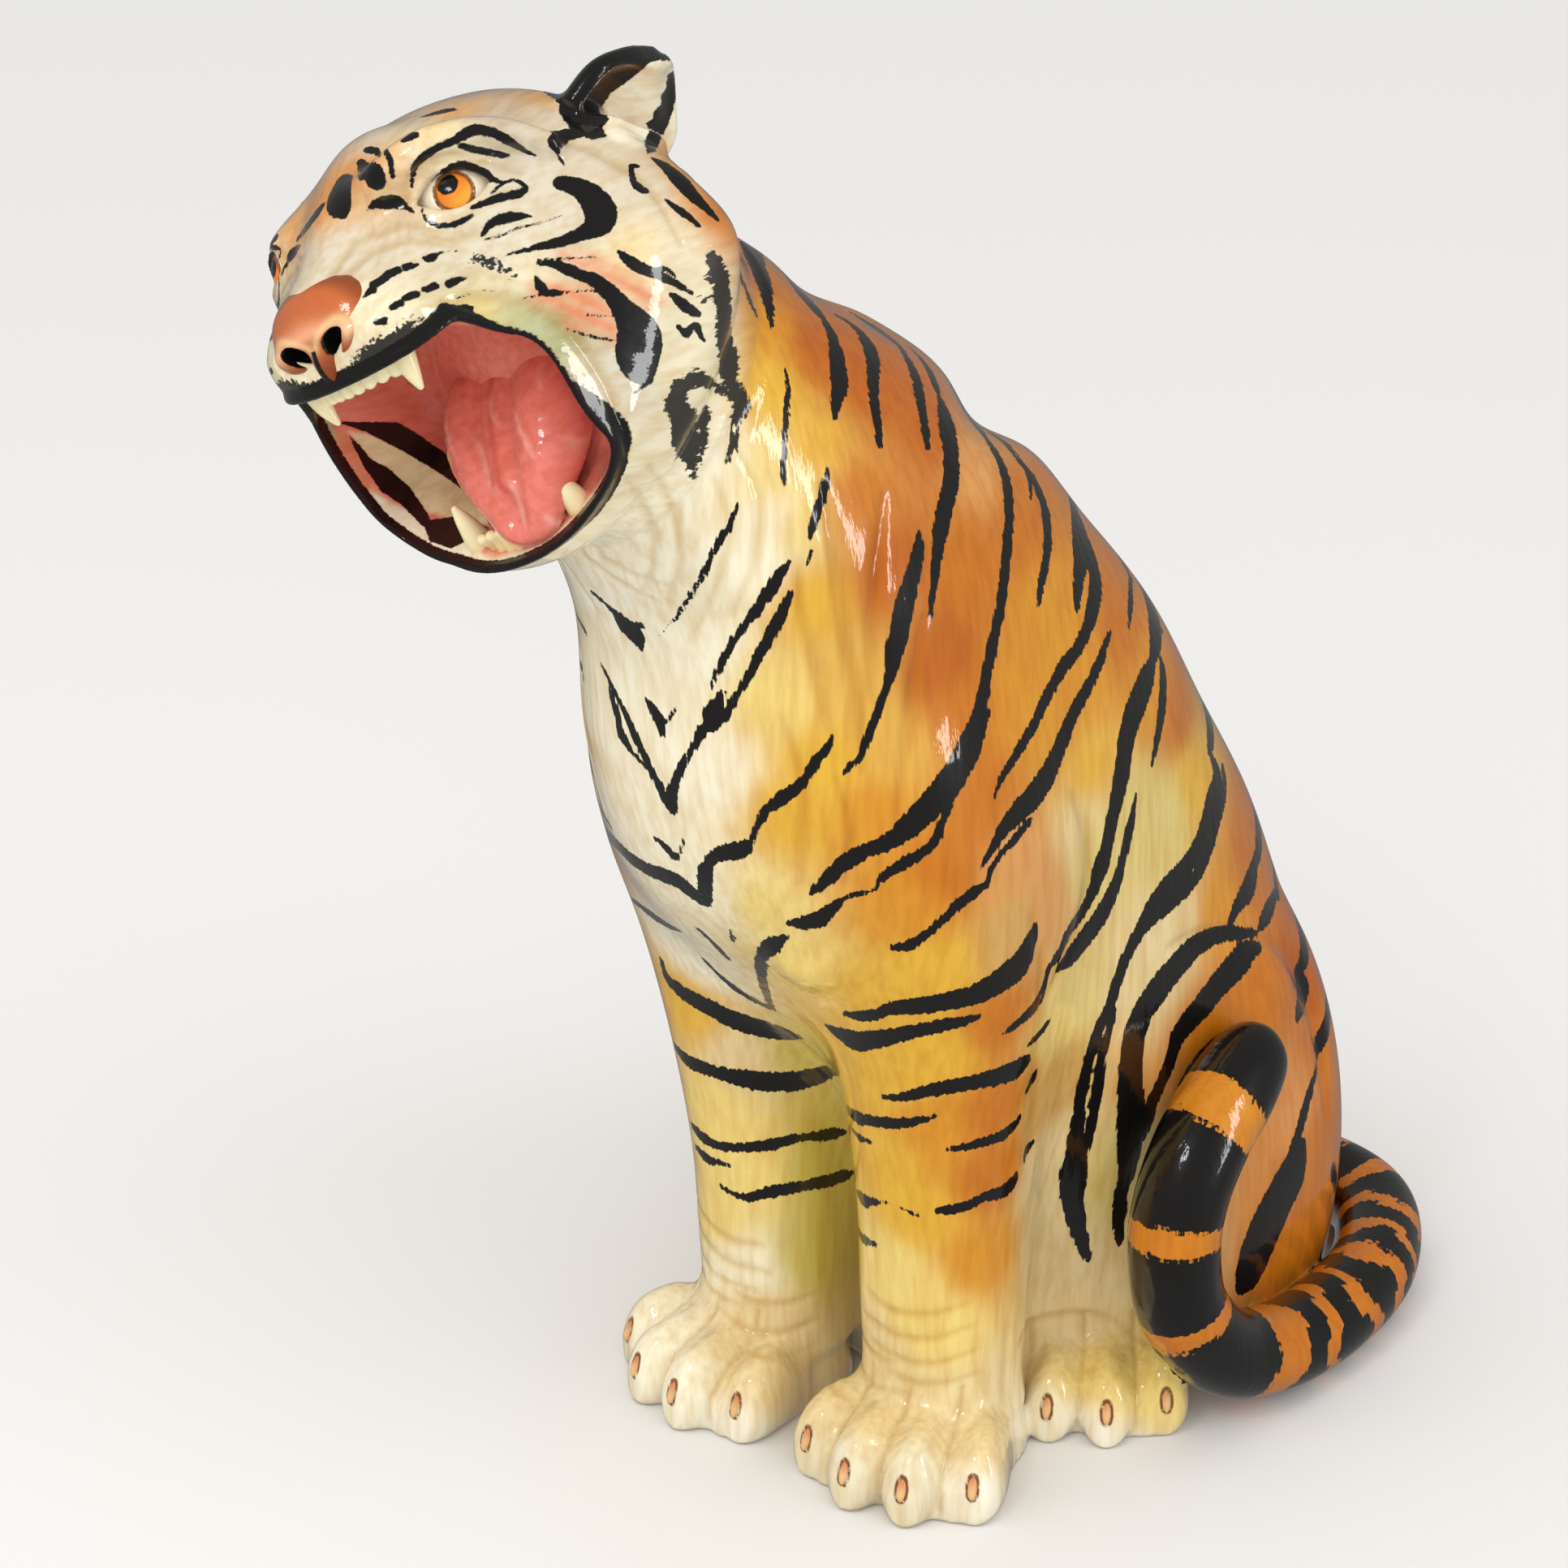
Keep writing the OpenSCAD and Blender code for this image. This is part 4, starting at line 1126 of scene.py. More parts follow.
FLANK = {
    "shoulder": [
        (998, 1102, 5), (1010, 1092, 13), (1025, 1078, 17), (1045, 1060, 19), (1070, 1047, 19),
        (1095, 1037, 21), (1118, 1020, 27), (1140, 1000, 31), (1162, 975, 33), (1180, 950, 31),
        (1192, 922, 27), (1202, 895, 20), (1210, 865, 15), (1214, 840, 14), (1220, 810, 13),
        (1226, 780, 12), (1232, 750, 12), (1237, 715, 12), (1240, 680, 12), (1243, 650, 11),
        (1243, 620, 11), (1240, 595, 10), (1233, 570, 9), (1222, 550, 8), (1207, 530, 5),
    ],
    "shoulder_side": [(1217, 878, 6), (1209, 910, 7), (1200, 945, 4)],
    "shoulder_front": [
        (1040, 952, 5), (1050, 942, 8), (1060, 932, 8), (1070, 905, 10), (1078, 885, 10), (1088, 860, 11),
        (1096, 835, 13), (1102, 805, 22), (1108, 780, 25), (1113, 755, 23), (1120, 725, 21),
        (1128, 695, 17), (1132, 670, 11), (1133, 654, 4),
    ],
    "withers_1": [
        (1146, 760, 5), (1149, 735, 8), (1152, 705, 11), (1156, 675, 15), (1160, 645, 19), (1167, 615, 19),
        (1172, 590, 19), (1172, 560, 17), (1168, 535, 17), (1165, 512, 15), (1160, 495, 8), (1157, 487, 3),
    ],
    "withers_2": [
        (1143, 550, 6), (1140, 530, 9), (1136, 505, 10), (1132, 480, 10), (1127, 460, 10), (1120, 445, 8),
        (1109, 427, 5),
    ],
    "withers_3": [
        (1084, 548, 7), (1082, 528, 10), (1078, 500, 11), (1076, 470, 12), (1075, 445, 13), (1070, 425, 13),
        (1060, 410, 9), (1045, 397, 6), (1030, 388, 4),
    ],
    "withers_4": [
        (1028, 516, 4), (1031, 495, 13), (1034, 470, 20), (1032, 445, 17), (1028, 422, 11), (1020, 402, 8),
        (1009, 387, 5),
    ],
    "neck_1": [(995, 696, 3), (1000, 679, 7)],
    "neck_2": [(998, 664, 4), (1004, 640, 11), (1012, 615, 11), (1018, 592, 9), (1021, 577, 3)],
    "neck_3": [(968, 455, 3), (970, 485, 6), (968, 520, 7), (966, 560, 8), (965, 590, 6), (967, 602, 2)],
    "back_1": [(1270, 613, 3), (1268, 590, 5), (1262, 575, 5), (1254, 561, 3)],
    "back_2": [
        (1280, 746, 4), (1283, 720, 8), (1289, 690, 9), (1291, 660, 10), (1288, 630, 10), (1280, 605, 10),
        (1270, 585, 9), (1255, 567, 6), (1244, 554, 4),
    ],
    "back_3": [
        (1327, 749, 6), (1328, 725, 11), (1330, 700, 13), (1332, 675, 21), (1330, 650, 19), (1325, 630, 13),
        (1319, 611, 6),
    ],
    "back_3_side": [
        (1336, 660, 12), (1343, 680, 14), (1348, 702, 14), (1350, 725, 15), (1345, 755, 14),
        (1337, 780, 13), (1325, 803, 13), (1310, 822, 14), (1300, 840, 12), (1288, 862, 12),
        (1278, 885, 11), (1265, 908, 10), (1252, 930, 10), (1240, 948, 8), (1230, 968, 6), (1224, 986, 3),
    ],
    "rib_1": [
        (1208, 1070, 3), (1222, 1046, 10), (1238, 1020, 15), (1255, 1000, 21), (1270, 985, 22),
        (1285, 965, 21), (1300, 935, 17), (1310, 910, 15), (1320, 885, 14), (1332, 862, 13),
        (1345, 838, 11), (1357, 810, 9), (1365, 786, 5), (1369, 777, 2),
    ],
    "rib_1_low": [
        (1268, 1012, 8), (1250, 1034, 8), (1232, 1054, 6), (1222, 1070, 6), (1216, 1088, 8),
        (1200, 1100, 13), (1180, 1115, 13), (1160, 1135, 10), (1140, 1152, 10), (1120, 1165, 13),
        (1102, 1167, 8),
    ],
    "edge_thin": [(1393, 713, 4), (1393, 740, 6), (1391, 772, 3)],
    "edge_low": [(1405, 715, 4), (1418, 745, 6), (1431, 776, 5)],
    "rib_2": [
        (1421, 815, 7), (1412, 840, 18), (1402, 865, 22), (1392, 895, 21), (1386, 925, 19), (1382, 955, 18),
        (1376, 985, 16), (1370, 1010, 14), (1365, 1040, 14), (1358, 1065, 17), (1350, 1090, 15),
        (1338, 1115, 10), (1322, 1140, 10), (1312, 1160, 10), (1303, 1181, 7),
    ],
    "rib_2_back": [
        (1420, 941, 3), (1425, 915, 7), (1430, 885, 9), (1433, 855, 10), (1433, 830, 9), (1430, 812, 5),
    ],
    "rib_2_side": [
        (1400, 977, 3), (1395, 1005, 8), (1390, 1030, 10), (1384, 1055, 10), (1378, 1080, 11),
        (1368, 1105, 15), (1355, 1130, 17), (1338, 1155, 17), (1320, 1178, 15), (1303, 1193, 6),
    ],
    "rib_2_low": [
        (1300, 1181, 6), (1292, 1196, 6), (1285, 1220, 7), (1275, 1240, 9), (1260, 1255, 9),
        (1245, 1268, 6), (1236, 1274, 2),
    ],
    "thigh_1": [
        (1490, 925, 4), (1500, 958, 14), (1492, 990, 15), (1485, 1020, 15), (1475, 1045, 15),
        (1460, 1070, 17), (1440, 1095, 23), (1425, 1115, 23), (1412, 1135, 17), (1400, 1155, 13),
        (1388, 1178, 12), (1378, 1205, 12), (1370, 1230, 12), (1360, 1255, 12), (1350, 1280, 12),
        (1342, 1305, 12), (1335, 1335, 12), (1330, 1365, 13), (1326, 1395, 17), (1325, 1425, 27),
        (1322, 1455, 31), (1322, 1480, 27), (1328, 1510, 22), (1335, 1535, 16), (1340, 1552, 8),
    ],
    "thigh_1_back": [
        (1507, 945, 6), (1508, 975, 9), (1498, 1015, 11), (1485, 1055, 12), (1470, 1085, 12),
        (1452, 1105, 12), (1432, 1125, 9),
    ],
    "thigh_1_side": [
        (1373, 1246, 5), (1365, 1275, 9), (1358, 1300, 10), (1354, 1330, 12), (1350, 1355, 12),
        (1345, 1385, 12), (1338, 1410, 12), (1331, 1432, 8),
    ],
    "thigh_2": [
        (1548, 1150, 9), (1525, 1150, 16), (1500, 1152, 19), (1480, 1162, 20), (1462, 1178, 21),
        (1442, 1200, 23), (1425, 1222, 25), (1408, 1248, 25), (1398, 1275, 25), (1394, 1305, 25),
        (1393, 1335, 27), (1393, 1365, 29), (1393, 1395, 29), (1392, 1420, 25), (1388, 1445, 19),
        (1382, 1470, 15), (1379, 1500, 14), (1379, 1525, 11), (1380, 1534, 4),
    ],
    "thigh_3": [
        (1552, 1166, 12), (1535, 1176, 25), (1518, 1195, 27), (1500, 1215, 25), (1482, 1238, 23),
        (1465, 1258, 21), (1452, 1275, 18), (1446, 1295, 14), (1438, 1318, 13), (1428, 1340, 13),
        (1418, 1362, 14), (1412, 1385, 14), (1408, 1402, 7),
    ],
    "thigh_4": [(1598, 1196, 8), (1603, 1222, 17), (1599, 1252, 8)],
    "thigh_5": [(1622, 1318, 4), (1611, 1355, 8), (1600, 1395, 9), (1588, 1424, 5)],
    "thigh_6": [
        (1602, 1416, 14), (1591, 1450, 31), (1576, 1480, 35), (1562, 1510, 37), (1550, 1540, 35),
        (1540, 1570, 27), (1530, 1587, 10),
    ],
    "thigh_7": [(1642, 1440, 8), (1646, 1480, 11), (1635, 1530, 9), (1613, 1578, 8)],
    "rump_1": [(1548, 1055, 8), (1540, 1090, 16), (1525, 1115, 11), (1514, 1142, 6)],
    "rump_2": [(1572, 1100, 6), (1560, 1128, 11), (1552, 1142, 6)],
}
FORELEGS = {
    "right_1": [
        (815, 1183, 4), (822, 1205, 7), (835, 1218, 12), (852, 1230, 14), (872, 1240, 17), (895, 1252, 20),
        (915, 1260, 21), (940, 1267, 19), (965, 1273, 15), (983, 1277, 6),
    ],
    "right_2": [
        (820, 1275, 4), (832, 1290, 6), (845, 1305, 10), (865, 1315, 13), (885, 1322, 13), (910, 1328, 19),
        (935, 1332, 23), (960, 1333, 23), (985, 1331, 23), (1005, 1326, 21), (1021, 1319, 12),
    ],
    "right_3": [
        (853, 1387, 5), (868, 1403, 9), (885, 1411, 9), (905, 1414, 10), (930, 1413, 13), (952, 1410, 15),
        (975, 1404, 11), (1000, 1400, 9), (1020, 1398, 14), (1038, 1395, 8),
    ],
    "right_4": [(858, 1414, 4), (872, 1428, 8), (888, 1433, 5), (901, 1437, 2)],
    "right_5": [
        (888, 1461, 4), (905, 1472, 6), (925, 1475, 10), (945, 1470, 14), (970, 1465, 15), (995, 1460, 12),
        (1020, 1455, 14), (1040, 1449, 12), (1048, 1446, 5),
    ],
    "left_1": [
        (1042, 1250, 5), (1060, 1252, 11), (1080, 1250, 12), (1100, 1243, 15), (1125, 1240, 19),
        (1150, 1237, 21), (1175, 1232, 21), (1200, 1226, 23), (1222, 1215, 25), (1240, 1203, 27),
        (1255, 1190, 25), (1265, 1172, 18), (1272, 1152, 10), (1276, 1137, 3),
    ],
    "left_2": [
        (1020, 1265, 5), (1035, 1275, 13), (1055, 1282, 19), (1080, 1280, 19), (1105, 1275, 17),
        (1130, 1270, 16), (1155, 1265, 16), (1180, 1260, 13), (1200, 1255, 8), (1209, 1252, 3),
    ],
    "left_3": [(1269, 1286, 4), (1282, 1272, 6), (1293, 1257, 3)],
    "left_4": [
        (1088, 1352, 4), (1110, 1352, 9), (1130, 1348, 13), (1155, 1342, 16), (1180, 1338, 17),
        (1205, 1332, 17), (1230, 1326, 19), (1250, 1319, 18), (1264, 1308, 10),
    ],
    "left_5": [(1264, 1346, 3), (1272, 1330, 6), (1278, 1317, 3)],
    "left_6": [
        (1043, 1366, 5), (1058, 1378, 10), (1080, 1382, 11), (1100, 1384, 12), (1120, 1383, 11),
        (1140, 1379, 8), (1158, 1373, 3),
    ],
    "left_7": [(1050, 1392, 3), (1060, 1402, 5), (1073, 1407, 3)],
    "left_8": [
        (1168, 1416, 4), (1190, 1413, 9), (1212, 1407, 10), (1232, 1400, 11), (1246, 1390, 9),
        (1256, 1377, 4),
    ],
    "left_9": [(1262, 1431, 3), (1264, 1418, 7), (1271, 1409, 5)],
    "left_10": [(1056, 1469, 4), (1064, 1478, 10), (1078, 1481, 6), (1096, 1482, 2)],
    "left_11": [(1110, 1488, 2), (1128, 1497, 4)],
    "left_12": [
        (1155, 1492, 7), (1175, 1490, 13), (1195, 1484, 11), (1215, 1474, 11), (1235, 1468, 13),
        (1247, 1458, 10), (1251, 1447, 4),
    ],
    "left_13": [(1057, 1514, 4), (1064, 1527, 7), (1079, 1533, 3)],
}
# Ground colours, placed on the photograph: across, down, colour
HEAD_GROUND = [
    (352, 285, TERRA), (400, 240, TERRA), (436, 215, AMBER), (470, 188, TERRA), (455, 168, SLATE),
    (500, 152, SLATE), (560, 126, SLATE), (560, 134, AMBER), (600, 150, SLATE), (345, 288, STRAW),
    (370, 265, PEACH), (478, 208, ORANGE), (492, 200, CREAM), (495, 166, STONE), (510, 160, SAND),
    (790, 300, SAND), (650, 112, SLATE), (668, 118, AMBER), (490, 215, SAND), (530, 165, SAND),
    (530, 200, STONE), (500, 290, STONE), (430, 310, STONE), (560, 330, STONE), (470, 385, BONE),
    (620, 305, STONE), (640, 210, STONE), (560, 195, BONE), (700, 260, STONE), (770, 250, STONE),
    (830, 300, BONE), (850, 320, BONE), (640, 340, BONE), (640, 395, SAGE), (690, 425, SAGE),
    (590, 385, KHAKI), (720, 460, STONE), (780, 490, STONE), (790, 540, BONE), (800, 620, CREAM),
    (830, 440, BONE), (870, 560, CREAM), (760, 690, PALE), (705, 715, PALE), (745, 190, STONE),
    (690, 150, STONE), (620, 140, SLATE), (880, 265, ORANGE), (915, 300, ORANGE), (932, 340, ORANGE),
    (948, 400, AMBER), (840, 215, AMBER), (880, 450, BONE), (800, 220, STONE),
]
FLANK_GROUND = [
    (1000, 430, RUST), (1060, 460, RUST), (1150, 520, RUST), (1200, 570, PEACH), (1260, 640, ORANGE),
    (1380, 760, ORANGE), (1450, 880, ORANGE), (1540, 1050, ORANGE), (1606, 1190, RUST), (1090, 700, RUST),
    (1190, 700, ORANGE), (1160, 820, RUST), (1185, 880, ORANGE), (1100, 930, OCHRE), (1050, 620, ORANGE),
    (1000, 560, GOLD), (985, 640, STRAW), (1000, 740, GOLD), (1040, 850, OCHRE), (1020, 940, GOLD),
    (950, 480, GOLD), (955, 600, STRAW), (930, 690, CREAM), (960, 860, STRAW), (970, 1000, GOLD),
    (1080, 1000, AMBER), (1160, 1080, ORANGE), (1120, 1120, AMBER), (1260, 850, AMBER), (1290, 760, AMBER),
    (1290, 905, AMBER), (1210, 990, ORANGE), (1250, 1060, PEACH), (1340, 960, GOLD), (1330, 1010, SAND),
    (1400, 1000, KHAKI), (1440, 1010, KHAKI), (1340, 1050, KHAKI), (1290, 1110, PEACH), (1250, 1150, TAN),
    (1310, 1250, KHAKI), (1410, 1190, SAND), (1290, 1350, TAN), (1285, 1430, SAND), (1290, 1490, SAND),
    (1330, 1580, SAND), (1370, 1450, KHAKI), (1450, 1150, SAND), (1500, 1120, AMBER), (1500, 1260, ORANGE),
    (1560, 1240, ORANGE), (1620, 1300, ORANGE), (1600, 1350, TERRA), (1600, 1500, ORANGE),
    (1630, 1400, ORANGE), (1440, 1380, ORANGE), (1420, 850, AMBER), (1470, 960, GOLD), (1330, 830, AMBER),
]
FRONT_GROUND = [
    (800, 700, PALE), (780, 850, CREAM), (850, 800, CREAM), (880, 950, CREAM), (800, 1000, CREAM),
    (880, 1100, CREAM), (850, 1170, CREAM), (740, 900, CREAM), (735, 950, PALE), (724, 880, PALE),
    (746, 1005, PALE), (714, 810, PALE), (720, 800, CREAM), (860, 720, BONE), (930, 1120, STRAW),
    (990, 1200, STRAW), (850, 1250, GOLD), (900, 1300, WHEAT), (830, 1310, AMBER), (870, 1360, STRAW),
    (920, 1440, STRAW), (880, 1500, STRAW), (910, 1560, CREAM), (1000, 1300, OLIVE), (1015, 1430, OLIVE),
    (1010, 1540, OLIVE), (930, 1620, SAND), (1060, 1220, GOLD), (1070, 1330, GOLD), (1090, 1420, GOLD),
    (1130, 1500, GOLD), (1150, 1400, AMBER), (1150, 1200, GOLD), (1225, 1260, ORANGE), (1225, 1370, ORANGE),
    (1220, 1450, ORANGE), (1205, 1550, AMBER), (1110, 1570, STRAW), (1150, 1630, STRAW), (1080, 1660, SAND),
    (1160, 1300, GOLD), (850, 1700, CREAM), (900, 1690, SAND), (950, 1680, SAND), (900, 1770, PALE),
    (815, 1690, CREAM), (1100, 1765, SAND), (1050, 1745, SAND), (1160, 1765, SAND), (1210, 1770, SAND),
    (1130, 1810, BONE), (1120, 1850, BONE), (1030, 1800, BONE), (1200, 1850, PALE), (1330, 1640, SAND),
    (1340, 1690, STRAW), (1340, 1770, PALE), (1400, 1690, STRAW), (1280, 1660, SAND), (1275, 1760, CREAM),
    (1400, 1770, CREAM),
]
# The far side of the right legs and the hidden paw take the left one's colours
HIDDEN_GROUND = [
    (1225, 1370, AMBER), (1220, 1450, GOLD), (1420, 1690, OCHRE), (1340, 1760, PALE), (1330, 1650, CREAM),
]

# Creases between the toes, pressed in and marked for painted shade
CREASE_DEPTH = 1.6
CREASE_HALF = 1.5
PAW_TOP = 66.0
PAW_PLACES = ((FRONT_HEEL, FRONT_TURN, 1.0), (HIND_HEEL, HIND_TURN, HIND_SIZE))
low = np.flatnonzero(body_skin.points[:, 2] < PAW_TOP)
for heel, angle, size in PAW_PLACES:
    p = body_skin.points[low]
    p[:, 0] = np.abs(p[:, 0])
    side, forward, up = ((p - (heel[0], heel[1], 0)) @ turn("Z", angle) / size * (1, -1, 1)).T
    lines = [toe[0] + np.tan(np.radians(toe[2])) * (forward - toe[1] + TOE_LENGTH) for toe in TOES]
    for a, b in zip(lines, lines[1:]):
        crease = np.exp(-((side - (a + b) / 2) / CREASE_HALF) ** 2) * ease(forward, 40, 70) * ease(up, 1, 12)
        crease *= (np.abs(side) < 60) & (forward < 130)
        body_skin.points[low] -= CREASE_DEPTH * crease[:, None] * body_skin.normals[low]
        # Marks the crease for painted shade
        body_skin.furrow[low] = np.maximum(body_skin.furrow[low], 0.85 * crease)

# Lump above the elbow: pixel, radius, height
ELBOW_LUMP = (994, 1196, 17, 7)
swell(*ELBOW_LUMP)
# Round of the thigh, on both sides and not on the tail
THIGH_ROUND_PX = (1548, 1225)
THIGH_ROUND_RISE = 9.0
THIGH_ROUND_REACH = 42.0
thigh_top = look(*THIGH_ROUND_PX)[0]
not_tail = body_owner != form_names.index("tail")
for flip in (1, -1):
    gap = ((body_skin.points * (flip, 1, 1) - thigh_top) ** 2).sum(1)
    rise = THIGH_ROUND_RISE * np.exp(-gap / THIGH_ROUND_REACH ** 2) * not_tail
    body_skin.points += rise[:, None] * body_skin.normals
for folds, where in ((HEAD_FOLDS, "head"), (BODY_FOLDS, "body"), (LEG_FOLDS, "body")):
    for fold_depth, stroke in folds:
        line = traced(stroke)
        if line is None:
            continue
        other = mirrored(line, where)
        carve(line, fold_depth)
        carve(other, fold_depth)
for skin in skins:
    skin.smooth()
skin_tree = whole_tree()


def camera_pixels(points):
    p = np.asarray(points) - EYE_POINT
    scale = CAMERA_FOCAL_PX / -(p @ BACK)
    return np.stack([FRAME_PX / 2 + scale * (p @ RIGHT), FRAME_PX / 2 - scale * (p @ UP)], 1)


ground_rows = []
for rows, side in ((HEAD_GROUND, "head"), (FLANK_GROUND, "body"), (FRONT_GROUND, None)):
    for px, py, colour in rows:
        hit = look(px, py)
        if hit is None:
            continue
        ground_rows.append((hit[0], hit[1], colour))
        if side:
            place, out, _ = mirrored((hit[0][None], hit[1][None], None), side)
            ground_rows.append((place[0], out[0], colour))
for px, py, colour in HIDDEN_GROUND:
    hit = look(px, py)
    ground_rows.append((hit[0] * FLIP, hit[1] * FLIP, colour))
ground_place, ground_out, ground_colour = (np.array(column) for column in zip(*ground_rows))
# How the colours run into each other: even core in square millimetres, fall, share of points that face away
GROUND_CORE = 260.0
GROUND_FALL = 2.4
GROUND_BEHIND = 0.12
# Shares of red, green and blue that painted shade takes away in the furrows and creases
FURROW_PAINTED_SHADE = 0.55 * np.array([0.25, 0.42, 0.7])
POINTS_AT_ONCE = 40000
for skin in skins:
    for start in range(0, len(skin.points), POINTS_AT_ONCE):
        part = slice(start, start + POINTS_AT_ONCE)
        gap = ((skin.points[part, None, :] - ground_place[None]) ** 2).sum(2)
        facing = GROUND_BEHIND + np.clip(skin.normals[part] @ ground_out.T, 0, 1)
        share = facing / (gap + GROUND_CORE) ** GROUND_FALL
        skin.ground[part] = share @ ground_colour / share.sum(1, keepdims=True)
    # Painted shade: the ground is darker in the furrows and creases
    skin.ground *= 1 - skin.furrow[:, None] * FURROW_PAINTED_SHADE


def outline_gap(pixels, rim):
    """Distance of pixels from a closed outline, negative inside it."""
    x, y = pixels.T
    inside = np.zeros(len(pixels), bool)
    gap = np.full(len(pixels), np.inf)
    for a, b in zip(rim, np.roll(rim, -1, axis=0)):
        d = b - a
        t = np.clip((pixels - a) @ d / max(d @ d, 1e-9), 0, 1)
        gap = np.minimum(gap, np.linalg.norm(pixels - a - t[:, None] * d, axis=1))
        if d[1]:
            inside ^= ((a[1] > y) != (b[1] > y)) & (x < d[0] * (y - a[1]) / d[1] + a[0])
    return np.where(inside, -gap, gap)


# Reach of a patch past its outline in pixels, and how far behind the visible skin a point counts as seen
PATCH_MARGIN = 12.0
SEEN_DEPTH = 5.0


def seen(points, normals, rim):
    """Points that the camera sees near an outline drawn in pixels, and their pixels."""
    pixels = camera_pixels(points)
    near = ((pixels > rim.min(0) - PATCH_MARGIN) & (pixels < rim.max(0) + PATCH_MARGIN)).all(1)
    kept = []
    for k in np.flatnonzero(near & (normals @ BACK > -0.05)):
        way = points[k] - EYE_POINT
        hit = skin_tree.ray_cast(EYE_POINT.tolist(), unit(way).tolist())
        if hit[0] is not None and hit[3] > np.linalg.norm(way) - SEEN_DEPTH:
            kept.append(k)
    return np.array(kept, int), pixels[kept]


def patch(polygon, paint, soft, both_sides, streaks=0.0):
    """Fills an outline drawn in pixels, where the camera sees it, with a layer of brushwork or a colour."""
    rim = np.array(polygon, float)
    for skin in skins:
        sides = [(skin.points, skin.normals)]
        if both_sides:
            sides.append(flipped(skin.points, skin.normals, "head"))
        for points, normals in sides:
            pick, pixels = seen(points, normals, rim)
            if not len(pick):
                continue
            gap = outline_gap(pixels, rim)
            if isinstance(paint, str):
                skin.mark(paint, gap * ((EYE_POINT - points[pick]) @ BACK) / CAMERA_FOCAL_PX, pick)
            else:
                streak = np.sin((pixels[:, 1] - 0.45 * pixels[:, 0]) / 3.2)
                skin.paint(ease(gap, soft, -soft) * (1 - streaks + streaks * streak), paint, pick)


# Cheek patches and ears: the colour or the layer that fills them, and an outline drawn in pixels
HEAD_PATCHES = {
    "cheek_1": (BLUSH, [
        (650, 352), (690, 346), (730, 352), (760, 385), (765, 425), (735, 412), (700, 405), (690, 385),
        (655, 372),
    ]),
    "cheek_2": (BLUSH, [
        (690, 308), (735, 316), (790, 345), (820, 372), (800, 385), (770, 362), (735, 338), (700, 326),
    ]),
    "ear_inside": (CREAM, [
        (745, 165), (748, 115), (775, 80), (820, 62), (826, 100), (805, 160), (795, 182), (760, 175),
    ]),
    "ear_back": ("ink", [
        (662, 106), (690, 90), (720, 74), (760, 56), (800, 38), (826, 44), (820, 66), (800, 78), (785, 92),
        (770, 102), (752, 116), (742, 132), (750, 146), (742, 158), (748, 168), (728, 172), (708, 164),
        (696, 150), (688, 138), (690, 126), (676, 118),
    ]),
    "ear_edge": ("ink", [
        (822, 92), (834, 84), (836, 115), (824, 152), (808, 186), (797, 190), (794, 176), (800, 160),
        (794, 152), (804, 146), (806, 136), (816, 128), (813, 118), (820, 110),
    ]),
}
# Softness of a patch's edge in pixels, and how strongly the cheeks are streaked
CHEEK_SOFT = 14.0
CHEEK_STREAKS = 0.2
EAR_SOFT = 6.0
for paint, rim in HEAD_PATCHES.values():
    if paint is BLUSH:
        patch(rim, paint, CHEEK_SOFT, True, CHEEK_STREAKS)
    else:
        patch(rim, paint, EAR_SOFT, True)

# Groups of strokes: layer, which other side repeats them, the head's or the body's, and how much broader
STROKE_GROUPS = [
    (FACE, "ink", "head", 1.22), (FACE_ONCE, "ink", None, 1.3), (CHARCOAL, "smoke", "head", 1.1),
    (CHEST, "ink", None, 1.08), (FLANK, "ink", "body", 1.05), (FORELEGS, "ink", None, 1.05),
]
for group, layer, where, broad in STROKE_GROUPS:
    for stroke in group.values():
        line = traced([(px, py, width * broad) for px, py, width in stroke])
        if line is None:
            continue
        lay(layer, line)
        if where:
            lay(layer, mirrored(line, where))

# Stripes that run on over the spine: stroke, which end meets the back, half width near the spine and rise
# towards it in millimetres, and half the bare gap at the spine as a share of the way across
OVER_SPINE = [
    ("withers_4", -1, 4.0, 12, 0.0), ("withers_2", -1, 4.5, 20, 0.09), ("withers_1", -1, 3.0, 26, 0.2),
    ("shoulder", -1, 6.5, 30, 0.0), ("back_2", -1, 3.5, 22, 0.22), ("back_3", -1, 7.5, 34, 0.05),
    ("edge_thin", 0, 3.0, 20, 0.25), ("edge_low", 0, 5.5, 30, 0.0), ("rib_2", 0, 8.0, 38, 0.07),
    ("thigh_1", 0, 7.0, 34, 0.0), ("rump_1", 0, 6.0, 30, 0.12), ("rump_2", 0, 3.5, 24, 0.26),
    ("thigh_4", 0, 7.5, 34, 0.03), ("thigh_5", 0, 4.5, 30, 0.2),
]
# Distance outside the skin from which the strokes that the camera doesn't see are put onto it
OUTSIDE = 260.0


def snap(points, ways, halves):
    """Lays a dark stroke through points near the skin, each put on the skin along its own way."""
    kept = []
    for p, way, half in zip(points, ways, halves):
        hit = skin_tree.ray_cast((p + way * OUTSIDE).tolist(), (-way).tolist())
        if hit[0] is not None:
            kept.append((np.array(hit[0]), way, half))
    if len(kept) > 2:
        lay("ink", [np.array(column) for column in zip(*kept)])


